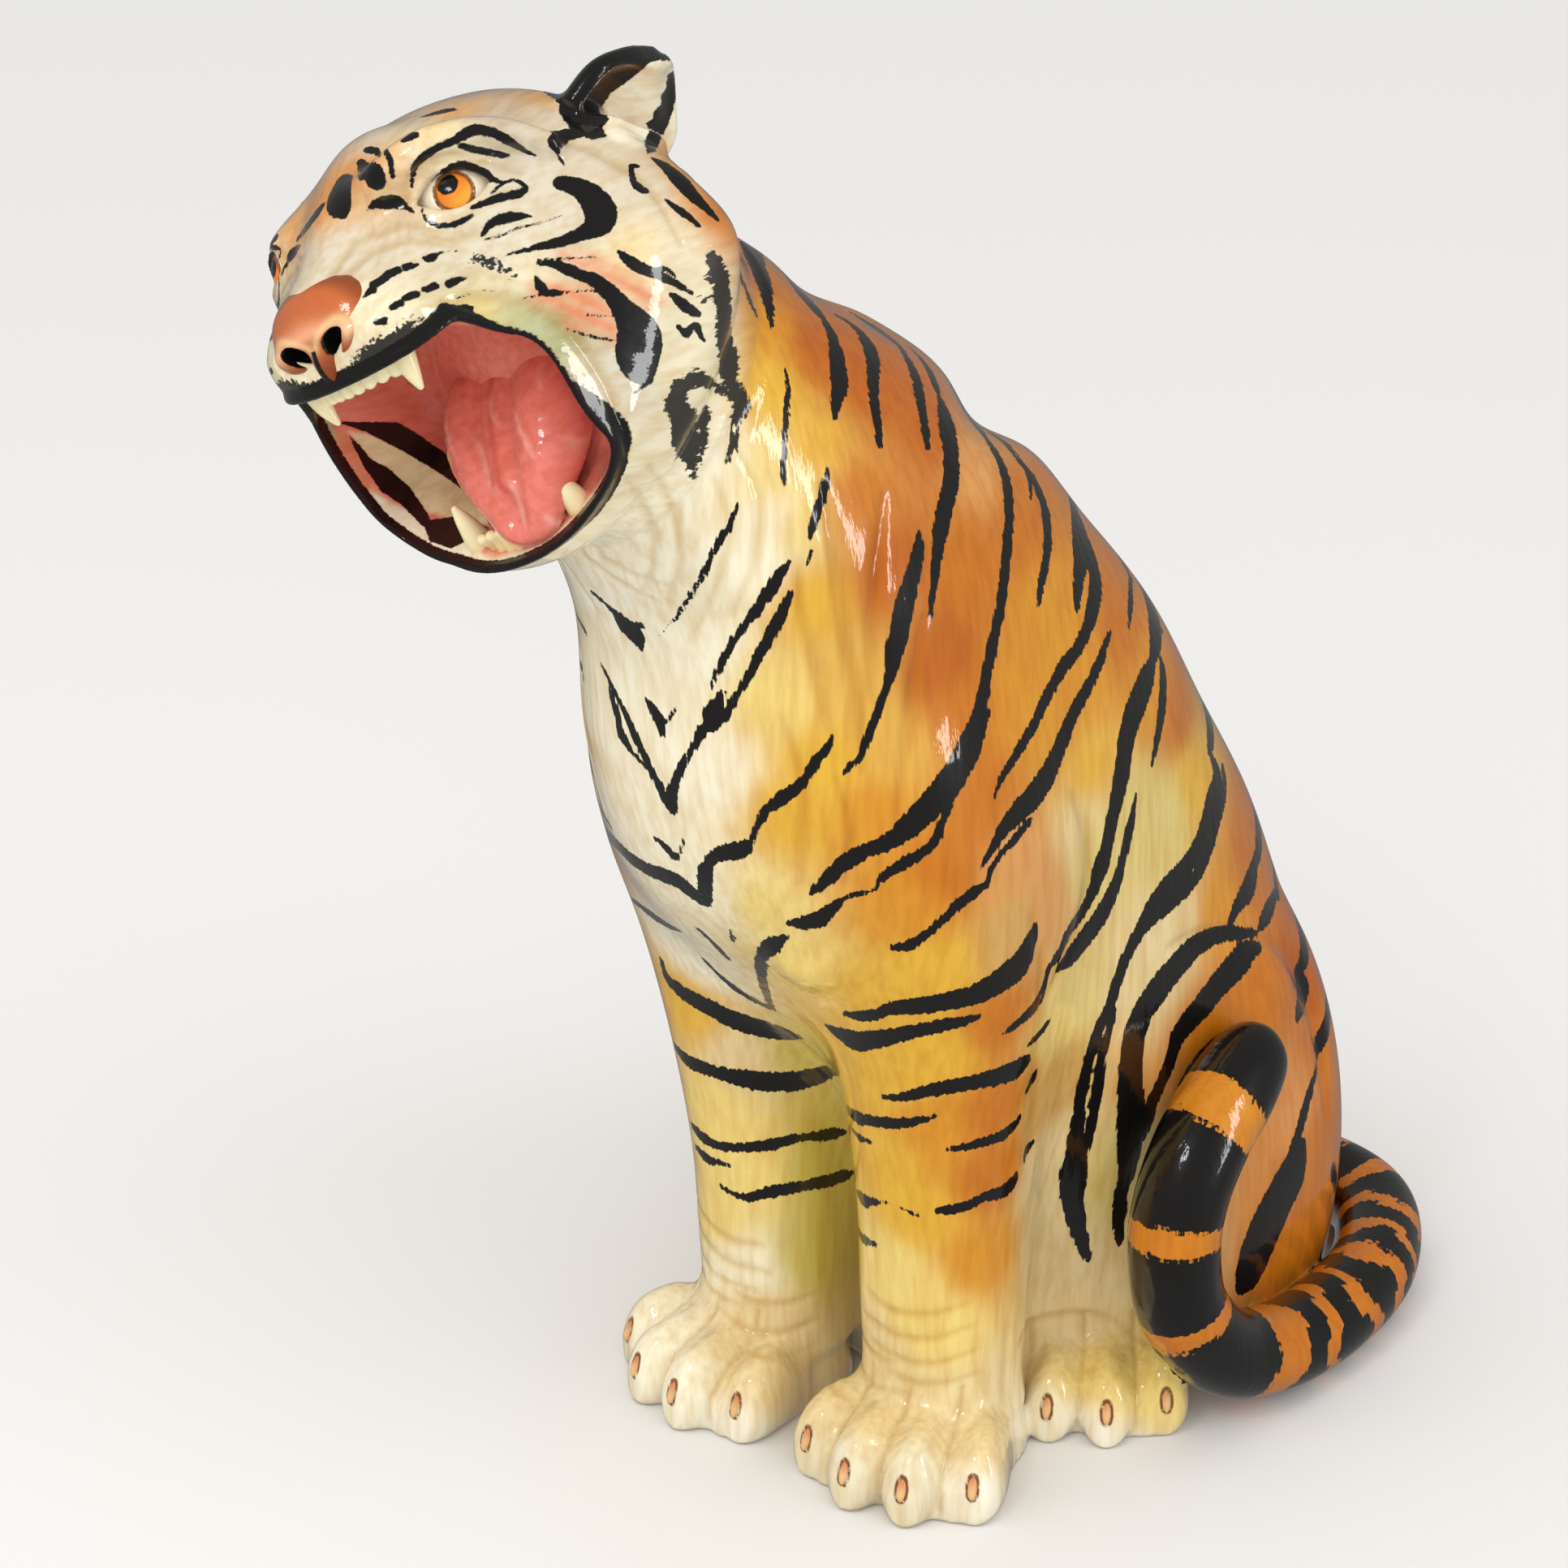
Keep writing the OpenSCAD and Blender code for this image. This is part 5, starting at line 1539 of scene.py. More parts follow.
SPINE_STEPS = np.linspace(0, 1, 16)
for k, (name, end, spine_half, rise, bare) in enumerate(OVER_SPINE):
    line = traced(FLANK[name])
    if line is None:
        continue
    one, half = line[0][end], max(line[2][end], 1.5)
    swelling = np.sin(math.pi * SPINE_STEPS ** 0.8)
    halves = half * (1 - SPINE_STEPS) + spine_half * swelling + (0.6 if bare else 2.2)
    for start, finish, drop in ((0.0, 0.5 - bare, 0.0), (1.0, 0.5 + bare, 5.0 * math.sin(3 * k + 1))):
        t = np.linspace(start, finish, len(SPINE_STEPS))
        near = np.abs(t - 0.5) * 2
        sway = rise * (1 - near) ** 1.4 + drop * (1 - near) + 2.2 * np.sin(11 * t + k)
        points = one + t[:, None] * (one * FLIP - one) + sway[:, None] * Z
        snap(points, [unit((1.4 * (0.5 - v), 1.0, 0.45)) for v in t], halves)

# Marks on the rump, seen from behind: across to the left, height, half width in millimetres
RUMP_MARKS = [
    [(88, 232, 1), (62, 252, 6), (36, 264, 7), (14, 268, 2)],
    [(-84, 226, 1), (-60, 246, 6), (-34, 260, 6), (-10, 262, 2)],
    [(96, 176, 1), (70, 200, 6), (40, 214, 8), (12, 218, 3)],
    [(-98, 168, 1), (-66, 196, 7), (-36, 208, 7), (-16, 212, 2)],
    [(78, 132, 1), (56, 150, 6), (30, 160, 6), (10, 160, 2)],
    [(-92, 112, 1), (-64, 138, 7), (-34, 152, 7), (-8, 156, 2)],
    [(-70, 66, 1), (-48, 86, 6), (-24, 96, 5), (-8, 98, 1)],
]
RUMP_DEPTH = 250.0
for mark in RUMP_MARKS:
    side, height, halves = flow(mark, 6).T
    points = np.stack([side, np.full(len(side), RUMP_DEPTH), height], 1)
    snap(points, [unit((0.006 * x, 1.0, 0.1)) for x in side], halves)

# Marks on the nape and the back of the crown, in the head's axes: place, half width; the last is on the left
NAPE_MARKS = [
    [(-10, 10, 92, 1), (-26, 14, 88, 4), (-44, 20, 80, 4), (-60, 26, 68, 1)],
    [(-8, 40, 84, 1), (-24, 46, 78, 5), (-44, 50, 66, 5), (-62, 52, 50, 1)],
    [(-10, 68, 60, 1), (-28, 72, 52, 5), (-50, 74, 36, 5), (-68, 74, 16, 1)],
    [(12, 70, 60, 1), (28, 73, 52, 5), (46, 75, 40, 4), (58, 76, 28, 1)],
]
CROWN_MIDDLE = head_to_body([0.0, 0.0, 10.0])
for mark in NAPE_MARKS:
    rows = flow(mark, 6)
    points = head_to_body(settle(rows[:, :3]))
    snap(points, unit(points - CROWN_MIDDLE), rows[:, 3])

# Bands on the outer side of the right foreleg: strokes of the left one, from this pixel across
OUTER_BANDS = {"left_1": 1175, "left_4": 1180, "left_8": 1190, "left_12": 1195, "left_2": 1150}
for name, start in OUTER_BANDS.items():
    line = traced([point for point in FORELEGS[name] if point[0] >= start])
    lay("ink", mirrored(line, "body"))

# Head: red lining with painted shade deeper in the throat, dark lips, cream ears with a dark back
LIP_HALF = 4.6
in_mouth = np.clip((-skull_value - 4) / 4, 0, 1) * (ear_value > 2)
# Painted shade: the lining turns darker red deeper towards the throat
deep = ease((head_points - MOUTH_MID) @ THROAT_WAY, 42, 108)
head_skin.paint(in_mouth, LIP_RED + deep[:, None] * (MOUTH_SHADE_RED - LIP_RED))
x, y, z = head_points.T
front = ease(y, -90, -125)
top_corner = ease(z, -70, -45) * (1 - front)
side_lip = ease(np.abs(x), 26, 52) * ease(z, -38, -78) * (1 - front)
lip_middle = 0.4 + 2 * front + 1.8 * side_lip
ring = np.abs(mouth_value - lip_middle) - (LIP_HALF + 2.2 * front - 2.0 * top_corner + 2.0 * side_lip)
ring = np.maximum(ring, -3.2 - skull_value)
head_skin.mark("ink", np.where(ear_value > 2, ring, REACH))
head_skin.paint(ease(skull_value, 2, 8) * on_ear, CREAM)
EAR_BACK = 2.2
ear_hollow = np.minimum(head.at(ear_inside, head_points), head.at(ear_inside[::-1], head_points))
head_skin.mark("ink", np.where(on_ear & (ear_hollow > EAR_BACK), EAR_BACK - ear_hollow, REACH))
# Inner side of the far lip: the colour or the layer that fills a patch, and an outline drawn in pixels
FAR_LIP = {
    "far_pink": (BLUSH, [
        (412, 526), (424, 530), (446, 575), (462, 612), (450, 618), (430, 588), (414, 552),
    ]),
    "far_cream": (TOOTH, [
        (430, 532), (455, 535), (510, 560), (560, 592), (600, 618), (608, 648), (560, 640), (525, 630),
        (480, 590), (450, 560),
    ]),
    "far_cream_low": (CREAM, [
        (455, 606), (480, 618), (515, 632), (540, 655), (580, 668), (600, 690), (560, 690), (500, 665),
    ]),
    "far_line": ("ink", [
        (408, 518), (440, 520), (490, 520), (520, 538), (560, 566), (600, 600), (616, 650), (604, 648),
        (590, 618), (545, 585), (500, 558), (450, 532),
    ]),
    "far_crescent": ("ink", [
        (428, 534), (440, 545), (458, 566), (480, 578), (505, 600), (528, 634), (536, 658), (520, 648),
        (495, 622), (470, 606), (448, 575),
    ]),
    "far_spot": ("ink", [(520, 642), (560, 636), (604, 650), (580, 664), (556, 676), (530, 668)]),
}
FAR_SOFT = 4.0
for paint, rim in FAR_LIP.values():
    patch(rim, paint, FAR_SOFT, False)

# Tail: dark bands with ragged edges, and a dark tip; start and end of each from the rump, in millimetres
TAIL_BANDS = [
    (50, 74), (88, 108), (122, 150), (164, 186), (198, 215), (229, 250), (262, 284), (296, 322), (350, 420),
    (433, 480), (492, 543), (567, 700),
]
# Up to here the bands are more ragged
TAIL_RAGGED = 335.0
tail_path = flow([row[:3] for row in TAIL], 10)
tail_run = np.concatenate([[0], np.cumsum(np.linalg.norm(np.diff(tail_path, axis=0), axis=1))])
on_tail = np.flatnonzero(body_owner == form_names.index("tail"))
nearest = ((body_points[on_tail, None, :] - tail_path[None]) ** 2).sum(2).argmin(1)
run = tail_run[nearest]
spoke = body_points[on_tail] - tail_path[nearest]
angle = np.arctan2(spoke[:, 2], spoke[:, 0])
wobble = np.where(run < TAIL_RAGGED, 5.0, 1.5)
run = run + wobble * np.sin(2 * angle + run / 17) + 0.5 * wobble * np.sin(5 * angle - run / 11)
body_skin.ground[on_tail] = ORANGE + ease(run, 420, 560)[:, None] * 0.5 * (AMBER - ORANGE)
for start, end in TAIL_BANDS:
    body_skin.mark("ink", np.maximum(start - run, run - end), on_tail)

# Claws: place and axes of each, and the rust-brown line round them
CLAW_HALF = np.array([2.9, 3.6, 8.0])
CLAW_LEAN = 28.0
CLAW_IN = 3.0
CLAW_LINE_OUT = 0.5
CLAW_LINE_HALF = 0.95


def claws_of(heel, angle, size):
    """Places and axes of a left paw's claws."""
    out = []
    for toe in TOES:
        paw_turn = turn("Z", angle)
        toe_turn = paw_turn @ turn("Z", toe[2])
        place = paw_turn @ np.array([toe[0], TOE_LENGTH - toe[1], 0]) * size
        place = place + toe_turn @ np.array([0, CLAW_IN - TOE_LENGTH, CLAW_UP]) * size + (heel[0], heel[1], 0)
        out.append((place, toe_turn @ turn("X", -CLAW_LEAN), size))
    return out


def claw_gap(x, y, z, claw):
    place, axes, size = claw
    p = (x - place[0], y - place[1], z - place[2])
    q = [sum(p[k] * axes[k][j] for k in range(3)) for j in range(3)]
    return ellipsoid(q[0], q[1], q[2], (0, 0, 0), CLAW_HALF * size)


CLAWS = {pair: claws_of(*place) for pair, place in zip(("front", "hind"), PAW_PLACES)}
low = np.flatnonzero(body_skin.points[:, 2] < PAW_TOP)
x, y, z = body_skin.points[low].T
for claw in CLAWS["front"] + CLAWS["hind"]:
    line_gap = np.abs(claw_gap(np.abs(x), y, z, claw) - CLAW_LINE_OUT) - CLAW_LINE_HALF
    body_skin.mark("rust", line_gap, low)


class NodeTree:
    """Nodes of a material or of the world; inputs are given by name, as values or as outputs to link."""

    def __init__(self, owner):
        owner.use_nodes = True
        self.nodes = owner.node_tree.nodes
        self.links = owner.node_tree.links

    def feed(self, node, inputs):
        for key, value in inputs.items():
            if isinstance(value, bpy.types.NodeSocket):
                self.links.new(value, node.inputs[key])
            else:
                node.inputs[key].default_value = value

    def add(self, kind, inputs, **settings):
        node = self.nodes.new(kind)
        for key, value in settings.items():
            setattr(node, key, value)
        self.feed(node, inputs)
        return node


# Light values of the washes that darken the ground, and of the dark colours
STREAK_WASH = (0.78, 0.6, 0.38, 1)
BROAD_WASH = (0.84, 0.7, 0.5, 1)
SMOKE_BLACK = (0.012, 0.0115, 0.011, 1)
INK_BLACK = (0.0055, 0.0048, 0.0045, 1)
RUST_BROWN = (0.21, 0.065, 0.018, 1)
# How often a noise repeats in a metre, in the body's axes and in the head's: long streaks and finer hairs
BODY_STREAK, HEAD_STREAK = (190, 190, 24), (210, 30, 210)
BODY_HAIR, HEAD_HAIR = (460, 460, 62), (520, 90, 520)
FINE_GRAIN = (420, 420, 420)
BROAD_CLOUD = (26, 26, 26)
# Raggedness of the ink's edge in millimetres
BODY_EDGE, HEAD_EDGE, DETAIL_EDGE, MOUTH_EDGE = 2.4, 0.9, 0.25, 0.4


def glaze(name, head_axes, edge, streaks=1.0):
    """Hand-painted glaze: streaked ground colour, brushed dark strokes, glassy coat."""
    material = bpy.data.materials.new(name)
    tree = NodeTree(material)
    coords = tree.add("ShaderNodeTexCoord", {})
    turned = tree.add("ShaderNodeMapping", {"Vector": coords.outputs["Object"]}, vector_type="POINT")
    if head_axes:
        turned.inputs["Rotation"].default_value = Matrix(HEAD_POSE.T.tolist()).to_euler("XYZ")

    def noise(scale, detail):
        stretch = tree.add("ShaderNodeMapping", {"Vector": turned.outputs[0], "Scale": scale})
        inputs = {"Vector": stretch.outputs[0], "Scale": 1.0, "Detail": detail}
        return tree.add("ShaderNodeTexNoise", inputs).outputs["Fac"]

    def worked(kind, a, b):
        return tree.add("ShaderNodeMath", {0: a, 1: b}, operation=kind).outputs[0]

    def mixed(share, a, b, kind="MIX"):
        inputs = {0: share, 6: a, 7: b}
        return tree.add("ShaderNodeMix", inputs, data_type="RGBA", blend_type=kind).outputs[2]

    def ramp(value, low, high, start, end, kind="LINEAR"):
        inputs = {"Value": value, "From Min": low, "From Max": high, "To Min": start, "To Max": end}
        return tree.add("ShaderNodeMapRange", inputs, interpolation_type=kind).outputs[0]

    def attribute(key, output):
        return tree.add("ShaderNodeAttribute", {}, attribute_name=key).outputs[output]

    def mask(key, rough, grain, soft):
        ragged = worked("MULTIPLY", worked("SUBTRACT", hair, 0.5), 2 * rough)
        grainy = worked("MULTIPLY", worked("SUBTRACT", fine, 0.5), 2 * grain)
        value = worked("ADD", worked("ADD", attribute(key, "Fac"), ragged), grainy)
        return ramp(value, -soft, soft, 1.0, 0.0, "SMOOTHSTEP")

    streak = noise(HEAD_STREAK if head_axes else BODY_STREAK, 3.0)
    hair = noise(HEAD_HAIR if head_axes else BODY_HAIR, 2.0)
    fine = noise(FINE_GRAIN, 2.0)
    broad = noise(BROAD_CLOUD, 2.0)
    colour = attribute("ground", "Color")
    colour = mixed(ramp(streak, 0.38, 0.68, 0.0, 0.5 * streaks), colour, STREAK_WASH, "MULTIPLY")
    colour = mixed(ramp(broad, 0.4, 0.7, 0.0, 0.22 * streaks), colour, BROAD_WASH, "MULTIPLY")
    smoke = worked("MULTIPLY", mask("smoke", rough=4.5, grain=2.4, soft=0.7), 0.97)
    colour = mixed(smoke, colour, SMOKE_BLACK)
    colour = mixed(mask("ink", rough=edge, grain=0.5, soft=0.35), colour, INK_BLACK)
    colour = mixed(mask("rust", rough=0.3, grain=0.2, soft=0.5), colour, RUST_BROWN)
    height = worked("ADD", streak, worked("MULTIPLY", broad, 1.5))
    bump = tree.add("ShaderNodeBump", {"Height": height, "Strength": 0.25, "Distance": 0.0012}).outputs[0]
    tree.feed(tree.nodes["Principled BSDF"], {
        "Base Color": colour, "Roughness": 0.32, "IOR": 1.5, "Specular IOR Level": 0.2, "Normal": bump,
        "Coat Weight": 1.0, "Coat Roughness": 0.035, "Coat IOR": 1.52, "Coat Normal": bump,
    })
    return material


body_glaze = glaze("painted_body_glaze", False, BODY_EDGE)
head_glaze = glaze("painted_head_glaze", True, HEAD_EDGE)
detail_glaze = glaze("painted_detail_glaze", True, DETAIL_EDGE, streaks=0.3)
mouth_glaze = glaze("painted_mouth_glaze", True, MOUTH_EDGE, streaks=1.2)


def new_mesh(name, points, quads):
    mesh = bpy.data.meshes.new(name)
    mesh.vertices.add(len(points))
    mesh.vertices.foreach_set("co", ((points + PLACED) * MM).astype(np.float32).ravel())
    mesh.loops.add(4 * len(quads))
    mesh.loops.foreach_set("vertex_index", quads.astype(np.int32).ravel())
    mesh.polygons.add(len(quads))
    mesh.polygons.foreach_set("loop_start", np.arange(0, 4 * len(quads), 4, dtype=np.int32))
    mesh.update(calc_edges=True)
    return mesh


def new_piece(name, mesh, node, material):
    mesh.materials.append(material)
    obj = bpy.data.objects.new(name, mesh)
    bpy.context.scene.collection.objects.link(obj)
    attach(obj, "root")
    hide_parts(node)
    return obj


def skin_piece(node, skin, picked, material):
    """Part of a skin as a piece of its own, with the whole skin's normals so that no seam shows."""
    quads = skin.quads[picked]
    used, inverse = np.unique(quads, return_inverse=True)
    mesh = new_mesh(node + "_skin", skin.points[used], inverse.reshape(-1, 4))
    mesh.normals_split_custom_set_from_vertices(skin.normals[used].tolist())
    colour = mesh.attributes.new("ground", "FLOAT_COLOR", "POINT")
    opaque = np.hstack([skin.ground[used], np.ones((len(used), 1))])
    colour.data.foreach_set("color", opaque.astype(np.float32).ravel())
    for layer, values in skin.layers.items():
        attribute = mesh.attributes.new(layer, "FLOAT", "POINT")
        attribute.data.foreach_set("value", values[used].astype(np.float32))
    return new_piece(node + "_skin", mesh, node, material)


SIDES = ("left_", "right_")
SLOTS = {
    "torso_shell": "striped_glaze", "tail": "striped_glaze", "head_shell": "cream_glaze",
    "lower_jaw": "cream_glaze", "mouth_lining": "mouth_glaze",
}
PAIR_SLOTS = {
    "foreleg": "striped_glaze", "haunch": "striped_glaze", "front_paw": "cream_glaze",
    "hind_paw": "cream_glaze", "ear": "ear_glaze",
}
SLOTS.update({side + pair: slot for side in SIDES for pair, slot in PAIR_SLOTS.items()})


def most(labels, quads):
    """Label of each quad: the second lowest of its corners'."""
    return np.sort(labels[quads], axis=1)[:, 1]


owner = body_owner.copy()
owner[owner == form_names.index("head")] = form_names.index("torso_shell")
face_owner = most(owner, body_quads)
for k, node in enumerate(form_names):
    picked = np.flatnonzero((face_owner == k) & body_keep)
    if node in SLOTS and len(picked):
        skin_piece(node, body_skin, picked, body_glaze)

HEAD_NODES = ("head_shell", "lower_jaw", "mouth_lining", "left_ear", "right_ear")
label = np.full(len(head_points), 0)
label[head_points[:, 2] < JAW_SEAM] = 1
label[(skull_value < -5) & (ear_value > 2)] = 2
label[on_ear & (head_points[:, 0] > 0)] = 3
label[on_ear & (head_points[:, 0] < 0)] = 4
face_label = most(label, head_quads)
for k, node in enumerate(HEAD_NODES):
    picked = np.flatnonzero((face_label == k) & head_keep)
    skin_piece(node, head_skin, picked, mouth_glaze if node == "mouth_lining" else head_glaze)


def small_form(low, high, voxel, shape):
    """Surface of a small shape given as a distance."""
    grid = Field(low, high, voxel)
    _, x, y, z = grid.window(low, high)
    values = np.broadcast_to(shape(x, y, z), grid.shape).astype(np.float32)
    points, quads = grid.surface(values)
    return relaxed(points, quads, 1, 0.3), quads


def joined(forms):
    """Several small surfaces as one."""
    points, quads, start = [], [], 0
    for p, q in forms:
        points.append(p)
        quads.append(q + start)
        start += len(p)
    return np.vstack(points), np.vstack(quads)


def across(form):
    """A surface mirrored to the other side."""
    return form[0] * FLIP, form[1][:, ::-1]


def detail(node, form, colour, slot, material, paint, in_head=True):
    """A small painted piece of its own, given in the head's axes or the body's."""
    points, quads = form
    skin = Surface(head_to_body(settle(points)) if in_head else points, quads, colour)
    paint(points, skin)
    return skin_piece(node, skin, np.arange(len(quads)), material)


# Eyes: a ball with a slight cornea, painted iris and pupil
CORNEA_OUT = 8.0
CORNEA_RADIUS = 11.6


def eye_shape(x, y, z):
    cornea = ball(x, y, z, EYE_MID + iris_way * CORNEA_OUT, CORNEA_RADIUS)
    return smin(ball(x, y, z, EYE_MID, EYE_RADIUS), cornea, 3)


def onto_eye(px, py):
    """Direction from the left eye's middle to where a pixel's line of sight meets it."""
    way = sight(px, py)
    to_eye = head_to_body(settle(EYE_MID[None]))[0] - EYE_POINT
    along = to_eye @ way
    short = EYE_RADIUS ** 2 - (to_eye @ to_eye - along ** 2)
    place = EYE_POINT + way * (along - math.sqrt(max(short, 0.0)))
    return unit(body_to_head(place[None])[0] - settle(EYE_MID[None])[0])


IRIS_PX = (559, 235)
PUPIL_PX = (551, 227)
IRIS_HALF = 10.0
PUPIL_HALF = 5.1
IRIS_ORANGE = tint(226, 124, 30)
IRIS_GOLD = tint(240, 178, 66)
iris_way = onto_eye(*IRIS_PX)
pupil_way = onto_eye(*PUPIL_PX)


def paint_eye(points, skin):
    way = unit(points * (np.sign(points[:, 0].mean()), 1, 1) - EYE_MID)
    iris, pupil = (EYE_RADIUS * np.arccos(np.clip(way @ middle, -1, 1)) for middle in (iris_way, pupil_way))
    glow = ease((way - iris_way) @ unit(iris_way - pupil_way), -0.1, 0.5)[:, None]
    skin.paint(ease(iris, IRIS_HALF + 0.5, IRIS_HALF - 0.5), IRIS_ORANGE + glow * (IRIS_GOLD - IRIS_ORANGE))
    skin.layers["ink"] = np.minimum(pupil - PUPIL_HALF, np.abs(iris - IRIS_HALF) - 0.35)
    skin.layers["rust"] = np.abs(iris - IRIS_HALF + 1.2) - 0.7


EYE_BOX = EYE_RADIUS + 4
eye_form = small_form(EYE_MID - EYE_BOX, EYE_MID + EYE_BOX, EYE_VOXEL, eye_shape)
detail("left_eye", eye_form, PALE, "eye_glaze", detail_glaze, paint_eye)
detail("right_eye", across(eye_form), PALE, "eye_glaze", detail_glaze, paint_eye)


# Nose: rounded top, two wings, a foot between them and slanting nostrils, as middle and half axes
NOSE_TOP = ((0, -133, 10), (34, 21, 23))
NOSE_WING = ((15, -140, -2), (16, 14, 13))
NOSE_FOOT = ((0, -144, -12), (6, 10, 12))
NOSTRIL = ((12.5, -152, -3), (7, 15, 7.5))
NOSTRIL_SLANT = 0.5


def nostril(x, y, z):
    ax = np.abs(x)
    return ellipsoid(ax, y, z - NOSTRIL_SLANT * (ax - NOSTRIL[0][0]), *NOSTRIL)


def nose_shape(x, y, z):
    out = ellipsoid(x, y, z, *NOSE_TOP)
    out = smin(out, ellipsoid(np.abs(x), y, z, *NOSE_WING), 7)
    out = smin(out, ellipsoid(x, y, z, *NOSE_FOOT), 5)
    return smax(out, -nostril(x, y, z), 2.5)


def paint_nose(points, skin):
    x, y, z = points.T
    hole = nostril(x, y, z)
    skin.paint(0.85 * np.exp(-((z - 8 + 0.012 * x ** 2) / 6.5) ** 2), NOSE_LIGHT)
    skin.paint(0.6 * np.exp(-((hole - 4.5) / 2.5) ** 2) * ease(z, -12, -4), SAND)
    rim = ease(np.sqrt((x / 34) ** 2 + ((z - 6) / 27) ** 2), 0.78, 1.0)
    skin.paint(np.maximum(0.8 * ease(z, 0, -18), 0.75 * rim), NOSE_DARK)
    skin.layers["ink"] = np.minimum(hole - 0.8, np.maximum(np.abs(x) - 1.4, z + 5))


nose_form = small_form((-40, -172, -26), (40, -104, 44), DETAIL_VOXEL, nose_shape)
detail("nose", nose_form, NOSE_BROWN, "brown_glaze", detail_glaze, paint_nose)


# Tongue: two lobes with a groove between them, as rows of place and radius, and a curled, hollowed tip
TONGUE_LOBE = [
    (18, -8, -38, 18), (23, -28, -52, 21), (24, -44, -74, 20), (18, -56, -94, 16), (11, -63, -108, 11),
    (6, -65, -115, 9),
]
TONGUE_MIDDLE = [(0, -6, -40, 20), (0, -30, -54, 20), (0, -48, -78, 17), (0, -62, -98, 14)]
TONGUE_TIP = ((0, -64, -114), (21, 10, 15))
TONGUE_HOLLOW = ((0, -77, -108), (10, 7, 14))


def tongue_shift(z):
    """How far the tongue hangs to the left."""
    return 5 + 6 * ease(z, -50, -110)


def tongue_shape(x, y, z):
    x = x - tongue_shift(z)
    lobe = rope(np.abs(x), y, z, TONGUE_LOBE)
    out = smin(smin(lobe, ellipsoid(x, y, z, *TONGUE_TIP), 7), rope(x, y, z, TONGUE_MIDDLE), 2)
    return smax(out, -ellipsoid(x, y, z, *TONGUE_HOLLOW), 4)


def paint_tongue(points, skin):
    x, y, z = points.T
    x = x - tongue_shift(z)
    # Painted shade: darker red in the groove and towards the throat
    groove = np.exp(-(x / 2.6) ** 2) * ease(z, -112, -95)
    skin.paint(np.maximum(groove * 0.7, ease(y, -40, -2) * 0.6), MOUTH_SHADE_RED)
    # Painted highlights along the tongue's ridges, partly pale brush streaks
    x = x + 3 * np.sin(z / 11)
    ridge_highlights = np.maximum(np.sin(x / 2.6), 0) ** 3 * ease(np.sin(z / 9 + x / 6), -0.2, 0.5)
    skin.paint(0.6 * ridge_highlights * ease(z, -40, -60), TONGUE_STREAK_HIGHLIGHT)


tongue_form = small_form((-46, -92, -142), (60, 18, -10), TONGUE_VOXEL, tongue_shape)
detail("tongue", tongue_form, TONGUE_RED, "mouth_glaze", mouth_glaze, paint_tongue)


# Teeth: a fang on each side, as rows of place and radius, and the front teeth's distances from the middle
UPPER_FANG = [(29, -129, -10, 7.5), (29.5, -129, -22, 6.2), (29.5, -127, -32, 4.2), (29, -124, -40, 1.8)]
LOWER_FANG = [(36, -52, -122, 8), (35.5, -56, -112, 6.6), (34.5, -61, -103, 4.4), (33.5, -65, -96, 2)]
UPPER_FRONT = (3.4, 10.2, 17.0, 23.4)
LOWER_FRONT = (3.4, 10.2, 17.0, 23.6)


def upper_tooth(k):
    forward = -139 + 0.012 * k * k
    return [(k, forward, -12, 4.4), (k, forward + 1, -22, 4.2), (k, forward + 2, -29 + 0.05 * k, 3.6)]


def lower_tooth(k):
    return [(k, -60 + 0.01 * k * k, -128, 4.4), (k, -63 + 0.01 * k * k, -120, 4), (k, -65, -116, 3.2)]


def teeth_shape(x, y, z, teeth):
    ax = np.abs(x)
    out = rope(ax, y, z, teeth[0])
    for tooth in teeth[1:]:
        out = smin(out, rope(ax, y, z, tooth), 1.2)
    return out


def paint_teeth(points, skin):
    skin.paint(0.55 * ease(np.abs(points[:, 2] + 70), 40, 58), OCHRE)


for node, low, high, teeth in (
        ("upper_teeth", (-42, -150, -50), (42, -114, 2), [UPPER_FANG, *map(upper_tooth, UPPER_FRONT)]),
        ("lower_teeth", (-46, -84, -140), (46, -40, -84), [LOWER_FANG, *map(lower_tooth, LOWER_FRONT)])):
    teeth_form = small_form(low, high, DETAIL_VOXEL, lambda x, y, z: teeth_shape(x, y, z, teeth))
    detail(node, teeth_form, TOOTH, "tooth_glaze", detail_glaze, paint_teeth)


# Claws: short domed nails with a darker root
CLAW_BOX = 14.0


def paint_claws(points, skin):
    skin.paint(0.75 * ease(points[:, 2], 24, 33), NOSE_BROWN)


for pair, claws in CLAWS.items():
    claw_form = joined([
        small_form(
            claw[0] - CLAW_BOX, claw[0] + CLAW_BOX, DETAIL_VOXEL, lambda x, y, z: claw_gap(x, y, z, claw))
        for claw in claws])
    for side, form in zip(SIDES, (claw_form, across(claw_form))):
        detail(side + pair + "_claws", form, NAIL, "brown_glaze", detail_glaze, paint_claws, in_head=False)


# Unglazed foot under the body
CLAY_DARK = tint(206, 190, 168)
CLAY_LIGHT = tint(232, 222, 204)
clay = bpy.data.materials.new("bare_fired_clay")
clay_tree = NodeTree(clay)
clay_place = clay_tree.add("ShaderNodeTexCoord", {}).outputs["Object"]
clay_speckle = {"Vector": clay_place, "Scale": 180.0, "Detail": 6.0}
clay_noise = clay_tree.add("ShaderNodeTexNoise", clay_speckle).outputs["Fac"]
clay_ramp = clay_tree.add("ShaderNodeValToRGB", {"Fac": clay_noise})
for stop, position, colour in zip(clay_ramp.color_ramp.elements, (0.3, 0.75), (CLAY_DARK, CLAY_LIGHT)):
    stop.position = position
    stop.color = (*colour, 1)
clay_bump = clay_tree.add("ShaderNodeBump", {"Height": clay_noise, "Strength": 0.3, "Distance": 0.0008})
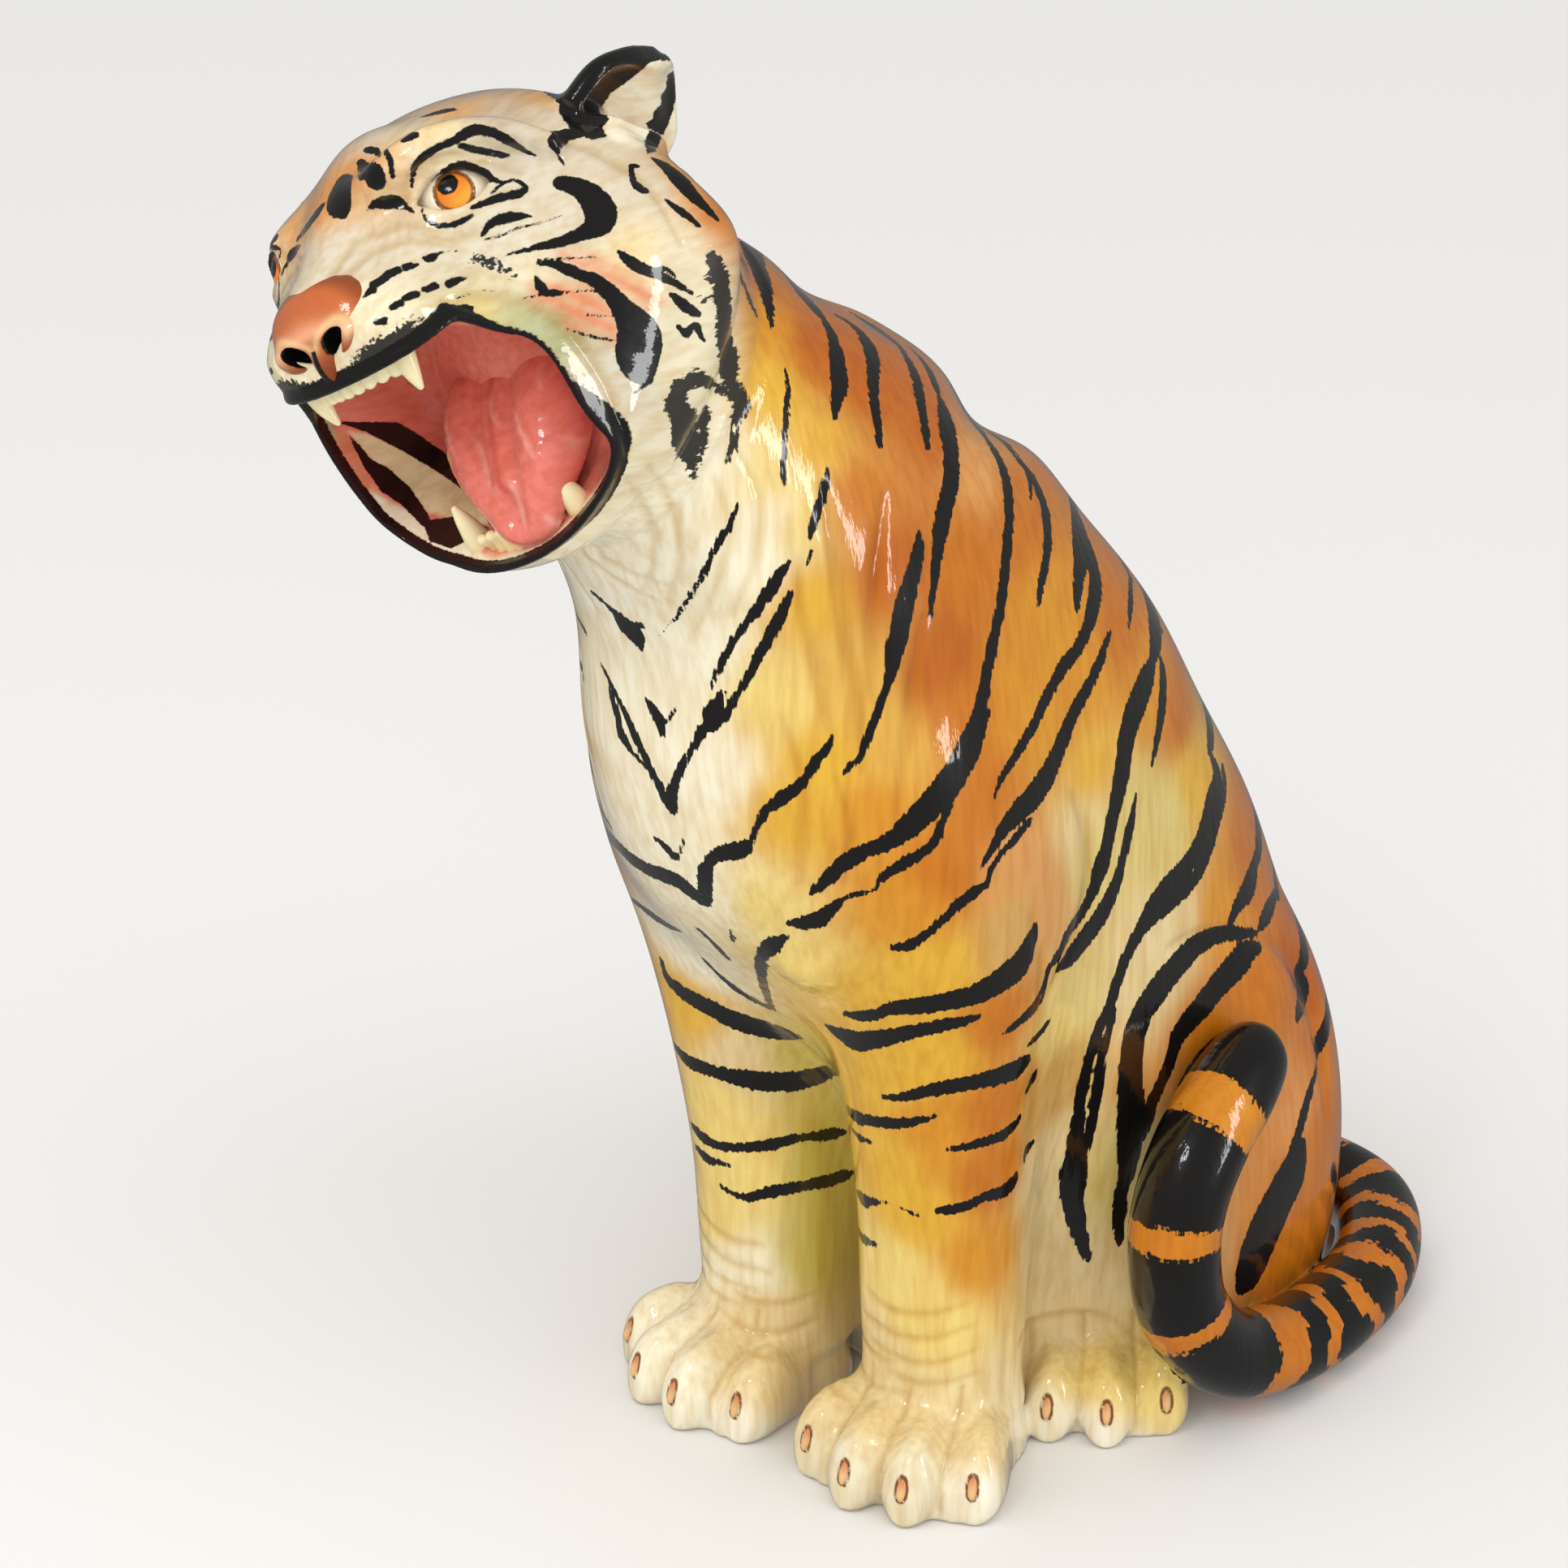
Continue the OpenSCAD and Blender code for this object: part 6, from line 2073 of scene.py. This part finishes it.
clay_tree.feed(clay_tree.nodes["Principled BSDF"], {
    "Base Color": clay_ramp.outputs["Color"], "Roughness": 0.85, "Normal": clay_bump.outputs["Normal"],
})
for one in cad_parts["base_plate"].material_slots:
    one.material = clay

# Pale floor, in metres, and a white room that reflections show dimmer
FLOOR_HALF = 60
FLOOR_COLOUR = (0.775, 0.77, 0.76, 1)
ROOM_COLOUR = (1.0, 0.99, 0.97, 1)
ROOM_STRENGTH = 0.77
REFLECTED_STRENGTH = 0.2
floor_mesh = bpy.data.meshes.new("floor")
floor_corners = [(x * FLOOR_HALF, y * FLOOR_HALF, 0) for x, y in ((-1, -1), (1, -1), (1, 1), (-1, 1))]
floor_mesh.from_pydata(floor_corners, [], [(0, 1, 2, 3)])
floor = bpy.data.objects.new("floor", floor_mesh)
bpy.context.scene.collection.objects.link(floor)
floor_paint = bpy.data.materials.new("floor_paint")
floor_tree = NodeTree(floor_paint)
floor_tree.feed(floor_tree.nodes["Principled BSDF"], {
    "Base Color": FLOOR_COLOUR, "Roughness": 0.7, "Specular IOR Level": 0.2,
})
floor_mesh.materials.append(floor_paint)
floor.visible_glossy = False
world = bpy.data.worlds.new("world")
room = NodeTree(world)
plain = room.nodes["Background"]
room.feed(plain, {"Color": ROOM_COLOUR, "Strength": ROOM_STRENGTH})
dim = room.add("ShaderNodeBackground", {"Color": ROOM_COLOUR, "Strength": REFLECTED_STRENGTH})
rays = room.add("ShaderNodeLightPath", {})
both_rooms = {0: rays.outputs["Is Glossy Ray"], 1: plain.outputs[0], 2: dim.outputs[0]}
sky = room.add("ShaderNodeMixShader", both_rooms)
room.feed(room.nodes["World Output"], {"Surface": sky.outputs[0]})
bpy.context.scene.world = world

# Lamps in metres, watts and degrees. Softboxes: azimuth, distance, height, target, size, watts, and the kind
# of light that they don't give. Suns: azimuth, height, strength, spread
SOFTBOXES = {
    "right_box": (104, 2.0, 0.95, (0, 0, 0.55), (0.26, 1.5), 10, "visible_diffuse"),
    "left_box": (-30, 2.4, 2.1, (0, -0.1, 0.5), (1.3, 1.3), 8, "visible_glossy"),
    "spark": (10, 1.7, 1.9, (0, 0, 0.6), (0.34, 0.34), 5, None),
    "front_box": (38, 2.6, 1.3, (0, 0, 0.5), (1.0, 1.0), 9, "visible_glossy"),
    "top_box": (60, 0.7, 2.6, (0, 0, 0.4), (1.4, 1.4), 2, "visible_glossy"),
}
SUNS = {"even": (15, 1.6, 0.85, 70), "side": (104, 0.5, 0.6, 50)}


def around(azimuth, distance, height):
    """Place at an azimuth like the camera's."""
    a = math.radians(azimuth)
    return Vector((math.sin(a) * distance, -math.cos(a) * distance, height))


def new_lamp(data, place, way, hidden):
    """Lamp at a place that shines against a way."""
    obj = bpy.data.objects.new(data.name, data)
    obj.matrix_world = Matrix.Translation(place) @ way.to_track_quat("Z", "Y").to_matrix().to_4x4()
    if hidden:
        setattr(obj, hidden, False)
    bpy.context.scene.collection.objects.link(obj)


for name, (azimuth, distance, height, target, size, watts, hidden) in SOFTBOXES.items():
    box = bpy.data.lights.new(name, "AREA")
    box.shape = "RECTANGLE"
    box.size, box.size_y = size
    box.energy = watts
    place = around(azimuth, distance, height)
    new_lamp(box, place, place - Vector(target), hidden)
for name, (azimuth, height, strength, spread) in SUNS.items():
    sun = bpy.data.lights.new(name, "SUN")
    sun.energy = strength
    sun.angle = math.radians(spread)
    new_lamp(sun, Vector((0, 0, 0)), around(azimuth, 1.0, height), "visible_glossy")
